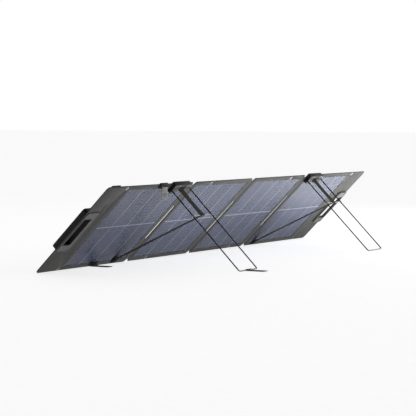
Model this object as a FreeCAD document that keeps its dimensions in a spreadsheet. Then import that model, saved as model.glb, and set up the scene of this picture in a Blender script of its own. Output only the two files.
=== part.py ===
"""A folding bifacial solar panel of four leaves that stands on two wire legs.

Every piece is drawn on the flat panel: X runs along it from the middle seam, Y runs up it from its bottom edge, and
Z points out of its rear face, which is the side that the legs are on. The panel then leans back on its bottom edge.
The row's own frame has +X along the panel, -Y towards the legs' feet and +Z up, with the ground at Z = 0.
"""

import FreeCAD, Part
import Sketcher
import math
import os

Vector = FreeCAD.Vector
SIZES = {
    # the panel as a whole
    "lean": 45, "leaf_pitch": 499.5, "margin": 165, "panel_height": 470, "board": 3.5, "corner_radius": 15,
    "seam_gap": 25, "slot_height": 195, "notch_width": 33, "notch_depth": 18, "notch_floor": 1,
    # the laminate of cells, ribbons and films in each leaf
    "cell_width": 105, "cell_height": 210, "cell_column_gap": 4, "cell_row_gap": 5, "cell_thickness": 0.4,
    "ribbon_width": 1.1, "ribbon_thickness": 0.25, "ribbon_spacing": 17.5, "bus_width": 4, "film_recess": 0.3,
    # the eyelets along the top and bottom edges, and the rivets in the left margin
    "eyelet_outer": 994, "eyelet_inner": 358, "eyelet_edge": 11, "eyelet_bore": 4, "eyelet_barrel": 4.6,
    "eyelet_flange": 7.5, "eyelet_lip": 0.8, "eyelet_seat": 4.9,
    "rivet_near": 88.5, "rivet_pitch": 24, "rivet_head": 3.8, "rivet_stem": 1.6, "rivet_seat": 1.8, "rivet_cap": 1.2,
    "rivet_low": 99, "rivet_middle": 242, "rivet_high": 364,
    # the two handle rings
    "handle_inset": 7, "handle_width": 77, "handle_height": 210, "handle_middle": 228, "handle_opening": 144,
    "handle_corner": 11, "handle_round": 2.5, "hole_corner": 6, "board_relief": 1,
    "left_wall": 7, "left_opening": 51, "left_rear_depth": 3.5, "left_rear_round": 1.2, "left_front_depth": 24,
    "left_grip_round": 6,
    "right_wall": 6, "right_opening": 65, "right_rear_depth": 8.5, "right_front_depth": 1.2,
    "screw_stem": 1.5, "screw_head": 3, "screw_seat": 1.7, "screw_cap": 0.8, "screw_skin": 1.2, "screw_relief": 0.3,
    "screw_inset": 16, "screw_spread": 44, "plate_round": 0.5,
    # the junction box on the front of the left margin
    "box_left": 50, "box_width": 60, "box_low": 386, "box_height": 76, "box_base": 5, "box_cover": 9, "box_wall": 2,
    "box_corner": 6, "box_round": 2.5, "circuit_thickness": 1.6, "circuit_gap": 1, "diode_width": 8,
    "diode_height": 14, "diode_depth": 3, "diode_pitch": 17, "gland_bore": 2.6, "gland_outer": 3.4, "gland_length": 15,
    "gland_nut": 4.2, "gland_nut_length": 6, "gland_seat": 3.6, "gland_from_left": 46,
    # the leg brackets on the top edge
    "bracket_1": -608.5, "bracket_2": 579.5, "bracket_width": 125, "bracket_low": 432, "bracket_depth": 14,
    "bracket_over": 6, "flange_thickness": 2, "flange_height": 30, "slot_width": 38, "slot_floor": 3, "slot_top": 10,
    "hinge_height": 451, "hinge_out": 9, "pin_clearance": 0.05, "pin_seat": 14, "cover_thickness": 2,
    "cover_height": 30, "rib_width": 5, "rib_depth": 2, "rib_pitch": 9,
    # the wire legs
    "wire": 2.5, "leg_half_width": 72, "pin_bend": 8, "foot_bend": 8, "pin_depth": 14, "crossbar_share": 0.333,
    "crossbar_wire": 1.5, "collar_outer": 4.3, "collar_length": 9, "collar_clearance": 0.1,
    # the webbing straps that stay the legs
    "strap_width": 32, "strap_thickness": 1.5, "loop_gap": 0.4, "strap_rest": 4, "anchor_low": 7,
    "anchor_height": 20, "anchor_depth": 4, "anchor_width": 37, "anchor_gap": 0.5, "loop_room": 5,
    # the ground tabs and their clips
    "tab_width": 40, "tab_length": 77, "tab_corner": 5, "tab_hole_width": 12, "tab_hole_length": 30,
    "tab_hole_edge": 12, "tab_hole_round": 5.5, "small_tab_width": 42, "small_tab_length": 50, "small_tab_corner": 12,
    "small_tab_hole_width": 22, "small_tab_hole_length": 12, "small_tab_hole_edge": 18.7, "small_tab_hole_round": 4,
    "tab_thickness": 2, "eye_outer": 3.5, "clip_pin": 1.5, "eye_clearance": 0.1, "ear_width": 4, "ear_radius": 3.3,
    "ear_gap": 0.6, "clip_base": 4.5, "clip_height": 18, "top_clip_at": -737.5, "top_clip_width": 55,
    "top_pin_height": 462, "top_pin_out": 10, "tab_at": -755, "bottom_clip_width": 54, "bottom_pin_out": 8.5,
    "boss_radius": 8, "boss_length": 5.5, "boss_drop": 6, "snap_outer": 4.4, "snap_clearance": 0.2,
}

doc = FreeCAD.newDocument("folding_panel")
sheet = doc.addObject("Spreadsheet::Sheet", "Size")
for row, (alias, number) in enumerate(SIZES.items(), 1):
    sheet.set(f"A{row}", alias)
    sheet.set(f"B{row}", str(number))
    sheet.setAlias(f"B{row}", alias)
doc.recompute()

NODES = []


def number(text):
    """The number that an expression comes to."""
    result = SCALE.evalExpression(text)
    return float(getattr(result, "Value", result))


SCALE = doc.addObject("App::FeaturePython", "Scale")

# Lengths that follow from the driving dimensions.
HALF_LENGTH = "(1.5 * Size.leaf_pitch + 2 * Size.cell_width + 1.5 * Size.cell_column_gap + Size.margin)"
AREA_WIDTH = "(4 * Size.cell_width + 3 * Size.cell_column_gap)"
AREA_HEIGHT = "(2 * Size.cell_height + Size.cell_row_gap)"
EDGE_BORDER = f"((Size.panel_height - {AREA_HEIGHT}) / 2)"
FILM = "((Size.board - Size.cell_thickness) / 2 - Size.ribbon_thickness - Size.film_recess)"
CELL_FACE = f"(Size.film_recess + {FILM} + Size.ribbon_thickness)"
FOOT_OUT = "(Size.hinge_height * tan(Size.lean) - Size.wire / cos(Size.lean))"
CROSSBAR_OUT = f"(Size.hinge_out + Size.crossbar_share * ({FOOT_OUT} - Size.hinge_out))"
BACK_REACH = f"(Size.hinge_height * cos(Size.lean) + {FOOT_OUT} * sin(Size.lean) + Size.tab_length)"
FRONT_REACH = "(Size.board * sin(Size.lean))"
ANCHOR_TOP = "(Size.anchor_low + Size.anchor_height)"
GROUND_SHIFT = f"(({BACK_REACH} - {FRONT_REACH}) / 2)"


def name_node(item, label):
    """Gives a finished piece the name of its node and of its file."""
    item.Label = label
    NODES.append(item)
    return item


def stand(item, label, along="0", up="0", out="0", turn="180 - Size.lean"):
    """Puts a piece that was drawn about a point of the flat panel where that point is once the panel leans."""
    item.setExpression("Placement.Base.x", along)
    item.setExpression("Placement.Base.y", f"{GROUND_SHIFT} - ({up}) * cos(Size.lean) - ({out}) * sin(Size.lean)")
    item.setExpression("Placement.Base.z", f"({up}) * sin(Size.lean) - ({out}) * cos(Size.lean)")
    item.Placement.Rotation = FreeCAD.Rotation(Vector(1, 0, 0), number(turn))
    return name_node(item, label)


def bind(item, **sizes):
    """Binds an item's sizes to expressions."""
    for name, text in sizes.items():
        item.setExpression(name, str(text))
    return item


def place(item, at, axis=None, angle=0):
    """Binds an item's place to three expressions and turns it by a fixed angle."""
    for name, text in zip("xyz", at):
        item.setExpression(f"Placement.Base.{name}", str(text))
    if axis:
        item.Placement.Rotation = FreeCAD.Rotation(Vector(*axis), angle)
    return item


def block(low, size):
    """A box from its lowest corner and its three sides."""
    item = bind(doc.addObject("Part::Box", "block"), Length=size[0], Width=size[1], Height=size[2])
    return place(item, low)


def rod(at, radius, length, axis="z"):
    """A cylinder that starts at a point and runs along an axis of the flat panel."""
    item = bind(doc.addObject("Part::Cylinder", "rod"), Radius=radius, Height=length)
    turns = {"x": ((0, 1, 0), 90), "y": ((1, 0, 0), -90), "z": (None, 0)}
    return place(item, at, *turns[axis])


def cut(base, *tools):
    """One solid less the others."""
    item = doc.addObject("Part::Cut", "cut")
    item.Base = base
    item.Tool = tools[0] if len(tools) == 1 else fuse(*tools)
    return item


def fuse(*items):
    """Several solids made one."""
    item = doc.addObject("Part::MultiFuse", "fuse")
    item.Shapes = list(items)
    return item


def group(*items):
    """Separate solids kept together in one node."""
    item = doc.addObject("Part::Compound", "group")
    item.Links = list(items)
    return item


def start_body():
    """An empty body."""
    return doc.addObject("PartDesign::Body", "body")


def plane(body, role):
    """One of a body's own origin planes."""
    return next(item for item in body.Origin.OriginFeatures if item.Role == role)


def start_sketch(body, role="XY_Plane"):
    """An empty sketch on one of the body's planes."""
    sketch = body.newObject("Sketcher::SketchObject", "sketch")
    sketch.AttachmentSupport = (plane(body, role), [""])
    sketch.MapMode = "FlatFace"
    return sketch


def hold(sketch, kind, where, text):
    """Adds a constraint whose value is an expression."""
    index = sketch.addConstraint(Sketcher.Constraint(kind, *where, number(text)))
    sketch.setExpression(f"Constraints[{index}]", text)


def polygon(sketch, corners):
    """A closed outline through corners that are each held by two expressions."""
    first = sketch.GeometryCount
    points = [Vector(number(across), number(up), 0) for across, up in corners]
    for start, stop in zip(points, points[1:] + points[:1]):
        sketch.addGeometry(Part.LineSegment(start, stop), False)
    for step in range(len(corners)):
        follower = first + (step + 1) % len(corners)
        sketch.addConstraint(Sketcher.Constraint("Coincident", first + step, 2, follower, 1))
    for step, (across, up) in enumerate(corners):
        hold(sketch, "DistanceX", (-1, 1, first + step, 1), across)
        hold(sketch, "DistanceY", (-1, 1, first + step, 1), up)


def rectangle(sketch, left, low, width, height):
    """A rectangle from its lowest left corner and its two sides."""
    right = f"{left} + {width}"
    high = f"{low} + {height}"
    polygon(sketch, [(left, low), (right, low), (right, high), (left, high)])


def disc(sketch, across, up, radius):
    """A circle held by its centre and its radius."""
    index = sketch.addGeometry(Part.Circle(Vector(number(across), number(up), 0), Vector(0, 0, 1), number(radius)))
    hold(sketch, "DistanceX", (-1, 1, index, 3), across)
    hold(sketch, "DistanceY", (-1, 1, index, 3), up)
    hold(sketch, "Radius", (index,), radius)


def pad(body, sketch, length, back=False):
    """Raises a sketch into a solid."""
    feature = body.newObject("PartDesign::Pad", "pad")
    feature.Profile = sketch
    feature.setExpression("Length", length)
    feature.Reversed = back
    doc.recompute()
    return feature


def pocket(body, sketch, depth=None, back=False):
    """Cuts a sketch out of a body, right through it or to a depth."""
    feature = body.newObject("PartDesign::Pocket", "pocket")
    feature.Profile = sketch
    feature.Reversed = back
    if depth:
        feature.setExpression("Length", depth)
    else:
        feature.Type = "ThroughAll"
    before = body.Shape.Volume
    doc.recompute()
    assert body.Shape.Volume < before - 1e-6, "a pocket cut nothing"
    return feature


def round_edges(body, radius, wanted):
    """Rounds the edges of a body that a test picks."""
    names = [f"Edge{index}" for index, edge in enumerate(body.Shape.Edges, 1) if wanted(edge)]
    feature = body.newObject("PartDesign::Fillet", "fillet")
    feature.Base = (body.Group[-2], names)
    feature.setExpression("Radius", radius)
    doc.recompute()
    return feature


def upright(edge):
    """Whether a straight edge stands square to the panel."""
    ends = [vertex.Point for vertex in edge.Vertexes]
    return len(ends) == 2 and abs((ends[1] - ends[0]).normalize().z) > 0.999


def upright_at(across_limits, up_limits=(-1e6, 1e6)):
    """A test for the upright edges in a stretch of the panel."""
    def wanted(edge):
        middle = edge.CenterOfMass
        inside_x = across_limits[0] < middle.x < across_limits[1]
        return upright(edge) and inside_x and up_limits[0] < middle.y < up_limits[1]
    return wanted


def level_at(depth):
    """A test for the edges that lie at one distance from the panel's rear face."""
    def wanted(edge):
        box = edge.BoundBox
        return abs(box.ZMin - depth) < 1e-3 and abs(box.ZMax - depth) < 1e-3
    return wanted


# --- the four leaves ---------------------------------------------------------------------------------------------

LEAF_MIDDLES = [f"({leaf} - 2.5) * Size.leaf_pitch" for leaf in (1, 2, 3, 4)]
EYELETS_ACROSS = ["-Size.eyelet_outer", "-Size.eyelet_inner", "Size.eyelet_inner", "Size.eyelet_outer"]
EYELETS_UP = ["Size.eyelet_edge", "Size.panel_height - Size.eyelet_edge"]
RIVETS_ACROSS = [f"-{HALF_LENGTH} + Size.rivet_near + {step} * Size.rivet_pitch" for step in (0, 1)]
RIVETS_UP = ["Size.rivet_low", "Size.rivet_middle", "Size.rivet_high"]
HANDLE_LOW = "(Size.handle_middle - Size.handle_height / 2)"
OPENING_LOW = "(Size.handle_middle - Size.handle_opening / 2)"
OPENING_HIGH = "(Size.handle_middle + Size.handle_opening / 2)"
LEFT_HANDLE = f"(-{HALF_LENGTH} + Size.handle_inset)"
RIGHT_HANDLE = f"({HALF_LENGTH} - Size.handle_inset - Size.handle_width)"


def leaf_sides(leaf):
    """Where a leaf starts and ends along the panel."""
    left = f"-{HALF_LENGTH}" if leaf == 1 else f"({leaf} - 3) * Size.leaf_pitch + Size.seam_gap / 2"
    right = HALF_LENGTH if leaf == 4 else f"({leaf} - 2) * Size.leaf_pitch - Size.seam_gap / 2"
    return left, right


def notched_side(side, inward):
    """The bottom and top corners of a leaf's side, with a corner nipped off where the seam has its notches."""
    nip_across = "(Size.notch_width - Size.seam_gap) / 2"
    slope = "Size.notch_depth / ((Size.notch_width - Size.notch_floor) / 2)"
    nip_up = f"({nip_across}) * {slope}"
    low = [(f"{side} {inward} {nip_across}", "0"), (side, nip_up)]
    high = [(side, f"Size.panel_height - {nip_up}"), (f"{side} {inward} {nip_across}", "Size.panel_height")]
    return low + high


def make_border(leaf):
    """The stiff, fabric-covered frame of one leaf, with a window for the cells and holes for what is fixed to it."""
    left, right = leaf_sides(leaf)
    body = start_body()
    outline = start_sketch(body)
    right_side = [(right, "0"), (right, "Size.panel_height")] if leaf == 4 else notched_side(right, "-")
    left_side = [(left, "0"), (left, "Size.panel_height")] if leaf == 1 else notched_side(left, "+")
    polygon(outline, right_side + left_side[::-1])
    pad(body, outline, "Size.board", back=True)
    if leaf in (1, 4):
        outer = number(left if leaf == 1 else right)
        round_edges(body, "Size.corner_radius", upright_at((outer - 1, outer + 1)))
    holes = start_sketch(body)
    rectangle(holes, f"{LEAF_MIDDLES[leaf - 1]} - {AREA_WIDTH} / 2", EDGE_BORDER, AREA_WIDTH, AREA_HEIGHT)
    for up in EYELETS_UP:
        disc(holes, EYELETS_ACROSS[leaf - 1], up, "Size.eyelet_seat")
    if leaf == 1:
        for across in RIVETS_ACROSS:
            for up in RIVETS_UP:
                disc(holes, across, up, "Size.rivet_seat")
    if leaf in (1, 4):
        across, wall, width = {
            1: (LEFT_HANDLE, "Size.left_wall", "Size.left_opening"),
            4: (RIGHT_HANDLE, "Size.right_wall", "Size.right_opening"),
        }[leaf]
        rectangle(holes, f"{across} + {wall} - Size.board_relief", f"{OPENING_LOW} - Size.board_relief",
                  f"{width} + 2 * Size.board_relief", "Size.handle_opening + 2 * Size.board_relief")
        for x, y in screw_places(across):
            disc(holes, x, y, "Size.screw_seat")
    pocket(body, holes)
    stand(body, f"leaf_{leaf}_border")


def screw_places(across):
    """Where a handle's four screws go: two in its top bar and two in its bottom bar."""
    middle = f"{across} + Size.handle_width / 2"
    return [
        (f"{middle} + {side} * Size.screw_spread / 2", f"Size.handle_middle + {end} * (Size.handle_height / 2 - "
         "Size.screw_inset)")
        for side in (-1, 1) for end in (-1, 1)
    ]


def make_laminate(leaf):
    """The cells of one leaf between two clear films, with the ribbons that join them."""
    left = f"{LEAF_MIDDLES[leaf - 1]} - {AREA_WIDTH} / 2"
    sheet_size = (AREA_WIDTH, AREA_HEIGHT, FILM)
    rear = block((left, EDGE_BORDER, f"-Size.film_recess - {FILM}"), sheet_size)
    stand(group(rear), f"leaf_{leaf}_rear_film")
    front = block((left, EDGE_BORDER, "Size.film_recess - Size.board"), sheet_size)
    stand(group(front), f"leaf_{leaf}_front_film")
    cells = []
    ribbons = []
    rear_ribbon = f"-Size.film_recess - {FILM} - Size.ribbon_thickness"
    front_ribbon = f"-{CELL_FACE} - Size.cell_thickness - Size.ribbon_thickness"
    for row in range(2):
        low = f"{EDGE_BORDER} + {row} * (Size.cell_height + Size.cell_row_gap)"
        for column in range(4):
            x = f"{left} + {column} * (Size.cell_width + Size.cell_column_gap)"
            cells.append(block((x, low, f"-{CELL_FACE} - Size.cell_thickness"),
                               ("Size.cell_width", "Size.cell_height", "Size.cell_thickness")))
        for line in range(12):
            y = f"{low} + Size.cell_height / 2 + ({line} - 5.5) * Size.ribbon_spacing - Size.ribbon_width / 2"
            for z in (rear_ribbon, front_ribbon):
                ribbons.append(block((left, y, z), (AREA_WIDTH, "Size.ribbon_width", "Size.ribbon_thickness")))
    bus_low = "(Size.panel_height - Size.bus_width) / 2"
    ribbons.append(block((left, bus_low, rear_ribbon), (AREA_WIDTH, "Size.bus_width", "Size.ribbon_thickness")))
    stand(group(*cells), f"leaf_{leaf}_cells")
    stand(group(*ribbons), f"leaf_{leaf}_ribbons")


def make_eyelets(leaf):
    """A leaf's two metal eyelets: a barrel through the border with a lip on each face."""
    across = EYELETS_ACROSS[leaf - 1]
    rings = []
    for up in EYELETS_UP:
        barrel = rod((across, up, "-Size.board"), "Size.eyelet_barrel", "Size.board")
        lips = [rod((across, up, z), "Size.eyelet_flange", "Size.eyelet_lip")
                for z in ("0", "-Size.board - Size.eyelet_lip")]
        hole = rod((across, up, "-Size.board - 2 * Size.eyelet_lip"), "Size.eyelet_bore",
                   "Size.board + 4 * Size.eyelet_lip")
        rings.append(cut(fuse(barrel, *lips), hole))
    stand(group(*rings), f"leaf_{leaf}_eyelets")


def make_seam(seam):
    """The two lengths of fabric that join neighbouring leaves, below and above the slot in the seam."""
    middle = f"({seam} - 2) * Size.leaf_pitch"
    left = f"{middle} - Size.seam_gap / 2"
    right = f"{middle} + Size.seam_gap / 2"
    nip = "Size.notch_depth * (Size.notch_width - Size.seam_gap) / (Size.notch_width - Size.notch_floor)"
    top = "Size.panel_height"
    slot_low = "(Size.panel_height - Size.slot_height) / 2"
    slot_high = "(Size.panel_height + Size.slot_height) / 2"
    floor = "Size.notch_floor / 2"
    lower = [(left, nip), (f"{middle} - {floor}", "Size.notch_depth"), (f"{middle} + {floor}", "Size.notch_depth"),
             (right, nip), (right, slot_low), (left, slot_low)]
    upper = [(left, slot_high), (right, slot_high), (right, f"{top} - {nip}"),
             (f"{middle} + {floor}", f"{top} - Size.notch_depth"),
             (f"{middle} - {floor}", f"{top} - Size.notch_depth"), (left, f"{top} - {nip}")]
    strips = []
    for outline in (lower, upper):
        body = start_body()
        sketch = start_sketch(body)
        polygon(sketch, outline)
        pad(body, sketch, "Size.board", back=True)
        strips.append(body)
    stand(group(*strips), f"seam_{seam}_fabric")


# --- the handles, the rivets and the junction box ----------------------------------------------------------------

def make_ring(label, across, wall, opening, depth, front, rounding):
    """One half of a handle: a ring with rounded corners, on the rear face or on the front face of its leaf."""
    body = start_body()
    outline = start_sketch(body)
    rectangle(outline, across, HANDLE_LOW, "Size.handle_width", "Size.handle_height")
    pad(body, outline, depth, back=front)
    round_edges(body, "Size.handle_corner", upright)
    round_edges(body, rounding, level_at(number(depth) * (-1 if front else 1)))
    hole = start_sketch(body)
    rectangle(hole, f"{across} + {wall}", OPENING_LOW, opening, "Size.handle_opening")
    pocket(body, hole, back=not front)
    inside = (number(f"{across} + {wall}") - 0.1, number(f"{across} + {wall} + {opening}") + 0.1)
    round_edges(body, "Size.hole_corner", upright_at(inside, (number(OPENING_LOW) - 0.1, number(OPENING_HIGH) + 0.1)))
    stems = start_sketch(body)
    for x, y in screw_places(across):
        disc(stems, x, y, "Size.screw_seat")
    pocket(body, stems, depth=None if front else f"{depth} - Size.screw_skin", back=not front)
    stand(body, label, out="-Size.board" if front else "0")


def make_screws(label, across, front_depth, rear_depth):
    """Four screws that go in from the front and clamp the two halves of a handle to the board."""
    face = f"-Size.board - {front_depth}"
    length = f"{front_depth} + Size.board + {rear_depth} - Size.screw_skin - Size.screw_relief"
    screws = []
    for x, y in screw_places(across):
        stem = rod((x, y, face), "Size.screw_stem", length)
        head = rod((x, y, f"{face} - Size.screw_cap"), "Size.screw_head", "Size.screw_cap")
        screws.append(fuse(stem, head))
    stand(group(*screws), label)


def make_handles():
    """The deep handle at the left end and the flat one at the right end."""
    left = (LEFT_HANDLE, "Size.left_wall", "Size.left_opening")
    right = (RIGHT_HANDLE, "Size.right_wall", "Size.right_opening")
    make_ring("left_handle_frame", *left, "Size.left_rear_depth", False, "Size.left_rear_round")
    make_ring("left_handle_grip", *left, "Size.left_front_depth", True, "Size.left_grip_round")
    make_screws("left_handle_screws", LEFT_HANDLE, "Size.left_front_depth", "Size.left_rear_depth")
    make_ring("right_handle_frame", *right, "Size.right_rear_depth", False, "Size.handle_round")
    make_ring("right_handle_plate", *right, "Size.right_front_depth", True, "Size.plate_round")
    make_screws("right_handle_screws", RIGHT_HANDLE, "Size.right_front_depth", "Size.right_rear_depth")


def make_rivets():
    """The six small rivets in the left margin, with a cap on each face."""
    rivets = []
    for across in RIVETS_ACROSS:
        for up in RIVETS_UP:
            stem = rod((across, up, "-Size.board"), "Size.rivet_stem", "Size.board")
            caps = [rod((across, up, z), "Size.rivet_head", "Size.rivet_cap")
                    for z in ("0", "-Size.board - Size.rivet_cap")]
            rivets.append(fuse(stem, *caps))
    stand(group(*rivets), "margin_rivets")


def rounded_block(low, size, corner, rounding):
    """A block whose upright corners are rounded, and then the edge of the face that stands off the leaf."""
    body = start_body()
    outline = start_sketch(body)
    rectangle(outline, low[0], low[1], size[0], size[1])
    pad(body, outline, size[2], back=True)
    round_edges(body, corner, upright)
    if rounding:
        round_edges(body, rounding, level_at(-number(size[2])))
    return place(body, ("0", "0", low[2]))


def make_junction_box():
    """The junction box on the front: a tray, a circuit board with its diodes, a cover and a cable gland."""
    left = f"(-{HALF_LENGTH} + Size.box_left)"
    base_low = (left, "Size.box_low", "-Size.board")
    inner_low = [f"{left} + Size.box_wall", "Size.box_low + Size.box_wall"]
    inner_size = ["Size.box_width - 2 * Size.box_wall", "Size.box_height - 2 * Size.box_wall"]
    tray = rounded_block(base_low, ("Size.box_width", "Size.box_height", "Size.box_base"), "Size.box_corner", None)
    hollow = block((*inner_low, "-Size.board - Size.box_base"), (*inner_size, "Size.box_base - Size.box_wall"))
    gland_up = "Size.box_low - Size.gland_length + Size.box_wall"
    gland_out = "-Size.board - Size.box_base - Size.box_cover / 2"
    gland_across = f"{left} + Size.gland_from_left"
    middle = f"{left} + Size.box_width / 2"
    stand(cut(tray, hollow), "junction_box_tray")
    cover = rounded_block((left, "Size.box_low", "-Size.board - Size.box_base"),
                          ("Size.box_width", "Size.box_height", "Size.box_cover"), "Size.box_corner",
                          "Size.box_round")
    room = block((*inner_low, "-Size.board - Size.box_base - Size.box_cover + Size.box_wall"),
                 (*inner_size, "Size.box_cover - Size.box_wall"))
    port = rod((gland_across, "Size.box_low - Size.box_wall", gland_out), "Size.gland_seat", "3 * Size.box_wall", "y")
    stand(cut(cover, room, port), "junction_box_cover")
    board_out = "-Size.board - Size.box_base + Size.circuit_gap"
    circuit = block((f"{inner_low[0]} + Size.circuit_gap", f"{inner_low[1]} + Size.circuit_gap", board_out),
                    (f"{inner_size[0]} - 2 * Size.circuit_gap", f"{inner_size[1]} - 2 * Size.circuit_gap",
                     "Size.circuit_thickness"))
    stand(group(circuit), "junction_box_circuit")
    diodes = [
        block((f"{middle} - 1.5 * Size.diode_pitch + ({step} + 0.5) * Size.diode_pitch - Size.diode_width / 2",
               "Size.box_low + Size.box_height / 2", f"{board_out} - Size.diode_depth"),
              ("Size.diode_width", "Size.diode_height", "Size.diode_depth"))
        for step in range(3)
    ]
    stand(group(*diodes), "junction_box_diodes")
    barrel = rod((gland_across, gland_up, gland_out), "Size.gland_outer", "Size.gland_length", "y")
    nut = rod((gland_across, "Size.box_low - Size.gland_nut_length", gland_out), "Size.gland_nut",
              "Size.gland_nut_length", "y")
    bore = rod((gland_across, f"{gland_up} - 1", gland_out), "Size.gland_bore", "Size.gland_length + 2", "y")
    stand(cut(fuse(barrel, nut), bore), "junction_box_gland")


# --- the legs ----------------------------------------------------------------------------------------------------

def make_bracket(leg, middle):
    """A bracket that grips the top edge of a leaf and holds the ends of a wire leg, with a slot for its strap."""
    left = f"{middle} - Size.bracket_width / 2"
    back = block((left, "Size.bracket_low", "0"),
                 ("Size.bracket_width", "Size.panel_height - Size.bracket_low", "Size.bracket_depth"))
    bridge = block((left, "Size.panel_height", "-Size.board - Size.flange_thickness"),
                   ("Size.bracket_width", "Size.bracket_over",
                    "Size.bracket_depth + Size.board + Size.flange_thickness"))
    flange = block((left, "Size.panel_height - Size.flange_height", "-Size.board - Size.flange_thickness"),
                   ("Size.bracket_width", "Size.flange_height", "Size.flange_thickness"))
    slot = block((f"{middle} - Size.slot_width / 2", "Size.bracket_low - 1", "Size.slot_floor"),
                 ("Size.slot_width", "Size.hinge_height + Size.slot_top - Size.bracket_low + 1",
                  "Size.bracket_depth"))
    bore = rod((f"{left} - 1", "Size.hinge_height", "Size.hinge_out"), "Size.wire + Size.pin_clearance",
               "Size.bracket_width + 2", "x")
    stand(cut(fuse(back, bridge, flange), slot, bore), f"leg_{leg}_bracket")
    pin = rod((f"{middle} - Size.slot_width / 2 - Size.pin_seat", "Size.hinge_height", "Size.hinge_out"),
              "Size.wire", "Size.slot_width + 2 * Size.pin_seat", "x")
    stand(group(pin), f"leg_{leg}_strap_pin")
    covers = []
    side_width = "(Size.bracket_width - Size.slot_width) / 2"
    for start in (left, f"{middle} + Size.slot_width / 2"):
        plate = block((start, "Size.bracket_low", "Size.bracket_depth"),
                      (side_width, "Size.panel_height + Size.bracket_over - Size.bracket_low",
                       "Size.cover_thickness"))
        ribs = [
            block((f"{start} + {side_width} / 2 + ({step} - 1.5) * Size.rib_pitch - Size.rib_width / 2",
                   "Size.bracket_low + Size.rib_depth", "Size.bracket_depth + Size.cover_thickness"),
                  ("Size.rib_width", "Size.cover_height", "Size.rib_depth"))
            for step in range(4)
        ]
        covers.append(fuse(plate, *ribs))
    stand(group(*covers), f"leg_{leg}_bracket_covers")


def bend(at, radius, turn):
    """A quarter of a ring of wire in the leg's plane, which starts at one quarter of the circle or another."""
    item = bind(doc.addObject("Part::Torus", "bend"), Radius1=radius, Radius2="Size.wire", Angle3="90")
    place(item, at)
    item.Placement.Rotation = FreeCAD.Rotation(Vector(1, 0, 0), 90).multiply(
        FreeCAD.Rotation(Vector(0, 0, 1), turn))
    return item


def make_leg(leg, middle):
    """A wire leg bent from one length, drawn about its hinge: X along the hinge and Z down the leg."""
    foot = f"({FOOT_OUT} - Size.hinge_out)"
    wires = []
    for side, pin_turn, foot_turn in ((-1, 180, 90), (1, 270, 0)):
        outer = f"{side} * Size.leg_half_width"
        pin_start = "Size.bracket_width / 2 - Size.pin_depth"
        pin_length = f"Size.leg_half_width - Size.pin_bend - ({pin_start})"
        start = pin_start if side > 0 else f"-({pin_start}) - ({pin_length})"
        wires.append(rod((start, "0", "0"), "Size.wire", pin_length, "x"))
        wires.append(bend((f"{outer} - {side} * Size.pin_bend", "0", "Size.pin_bend"), "Size.pin_bend", pin_turn))
        wires.append(rod((outer, "0", "Size.pin_bend"), "Size.wire", f"{foot} - Size.pin_bend - Size.foot_bend"))
        wires.append(bend((f"{outer} - {side} * Size.foot_bend", "0", f"{foot} - Size.foot_bend"),
                          "Size.foot_bend", foot_turn))
    wires.append(rod(("-Size.leg_half_width + Size.foot_bend", "0", foot), "Size.wire",
                     "2 * (Size.leg_half_width - Size.foot_bend)", "x"))
    stand(fuse(*wires), f"leg_{leg}_wire", middle, "Size.hinge_height", "Size.hinge_out")
    cross = f"{CROSSBAR_OUT} - Size.hinge_out"
    bar = rod(("-Size.leg_half_width", "0", cross), "Size.crossbar_wire", "2 * Size.leg_half_width", "x")
    collars = []
    holes = []
    for side in (-1, 1):
        at = (f"{side} * Size.leg_half_width", "0", f"{cross} - Size.collar_length / 2")
        collars.append(rod(at, "Size.collar_outer", "Size.collar_length"))
        holes.append(rod(at, "Size.wire + Size.collar_clearance", "Size.collar_length"))
    stand(cut(fuse(bar, *collars), *holes), f"leg_{leg}_crossbar", middle, "Size.hinge_height", "Size.hinge_out")


def make_straps(leg, middle):
    """The webbing: a length on the leg from the bracket's pin to the crossbar, and a length on down to the leaf."""
    cross = f"({CROSSBAR_OUT} - Size.hinge_out)"
    half = "Size.strap_width / 2"
    web = block((f"-{half}", "-Size.strap_thickness / 2", "Size.wire"),
                ("Size.strap_width", "Size.strap_thickness", f"{cross} - Size.wire"))
    top_loop = rod((f"-{half}", "0", "0"), "Size.wire + Size.loop_gap + Size.strap_thickness", "Size.strap_width", "x")
    low_loop = rod((f"-{half}", "0", cross), "Size.crossbar_wire + Size.loop_gap + Size.strap_thickness",
                   "Size.strap_width", "x")
    holes = [
        rod((f"-{half} - 1", "0", "0"), "Size.wire + Size.loop_gap", "Size.strap_width + 2", "x"),
        rod((f"-{half} - 1", "0", cross), "Size.crossbar_wire + Size.loop_gap", "Size.strap_width + 2", "x"),
    ]
    stand(cut(fuse(web, top_loop, low_loop), *holes), f"leg_{leg}_strap_upper", middle, "Size.hinge_height",
          "Size.hinge_out")
    rise = number(f"{CROSSBAR_OUT} - Size.strap_rest")
    run = number("Size.hinge_height - Size.anchor_low - Size.anchor_height")
    angle = math.degrees(math.atan2(rise, run))
    length = f"sqrt(({CROSSBAR_OUT} - Size.strap_rest) ^ 2 + (Size.hinge_height - {ANCHOR_TOP}) ^ 2)"
    stay = block((f"{middle} - {half}", ANCHOR_TOP, "Size.strap_rest - Size.strap_thickness"),
                 ("Size.strap_width", f"{length} - Size.loop_room", "Size.strap_thickness"))
    stay.Placement.Rotation = FreeCAD.Rotation(Vector(1, 0, 0), angle)
    stand(group(stay), f"leg_{leg}_strap_lower")
    anchor = block((f"{middle} - Size.anchor_width / 2", "Size.anchor_low", "0"),
                   ("Size.anchor_width", "Size.anchor_height - Size.anchor_gap", "Size.anchor_depth"))
    stand(group(anchor), f"leg_{leg}_strap_anchor")


# --- the ground tabs and their clips -----------------------------------------------------------------------------

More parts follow.
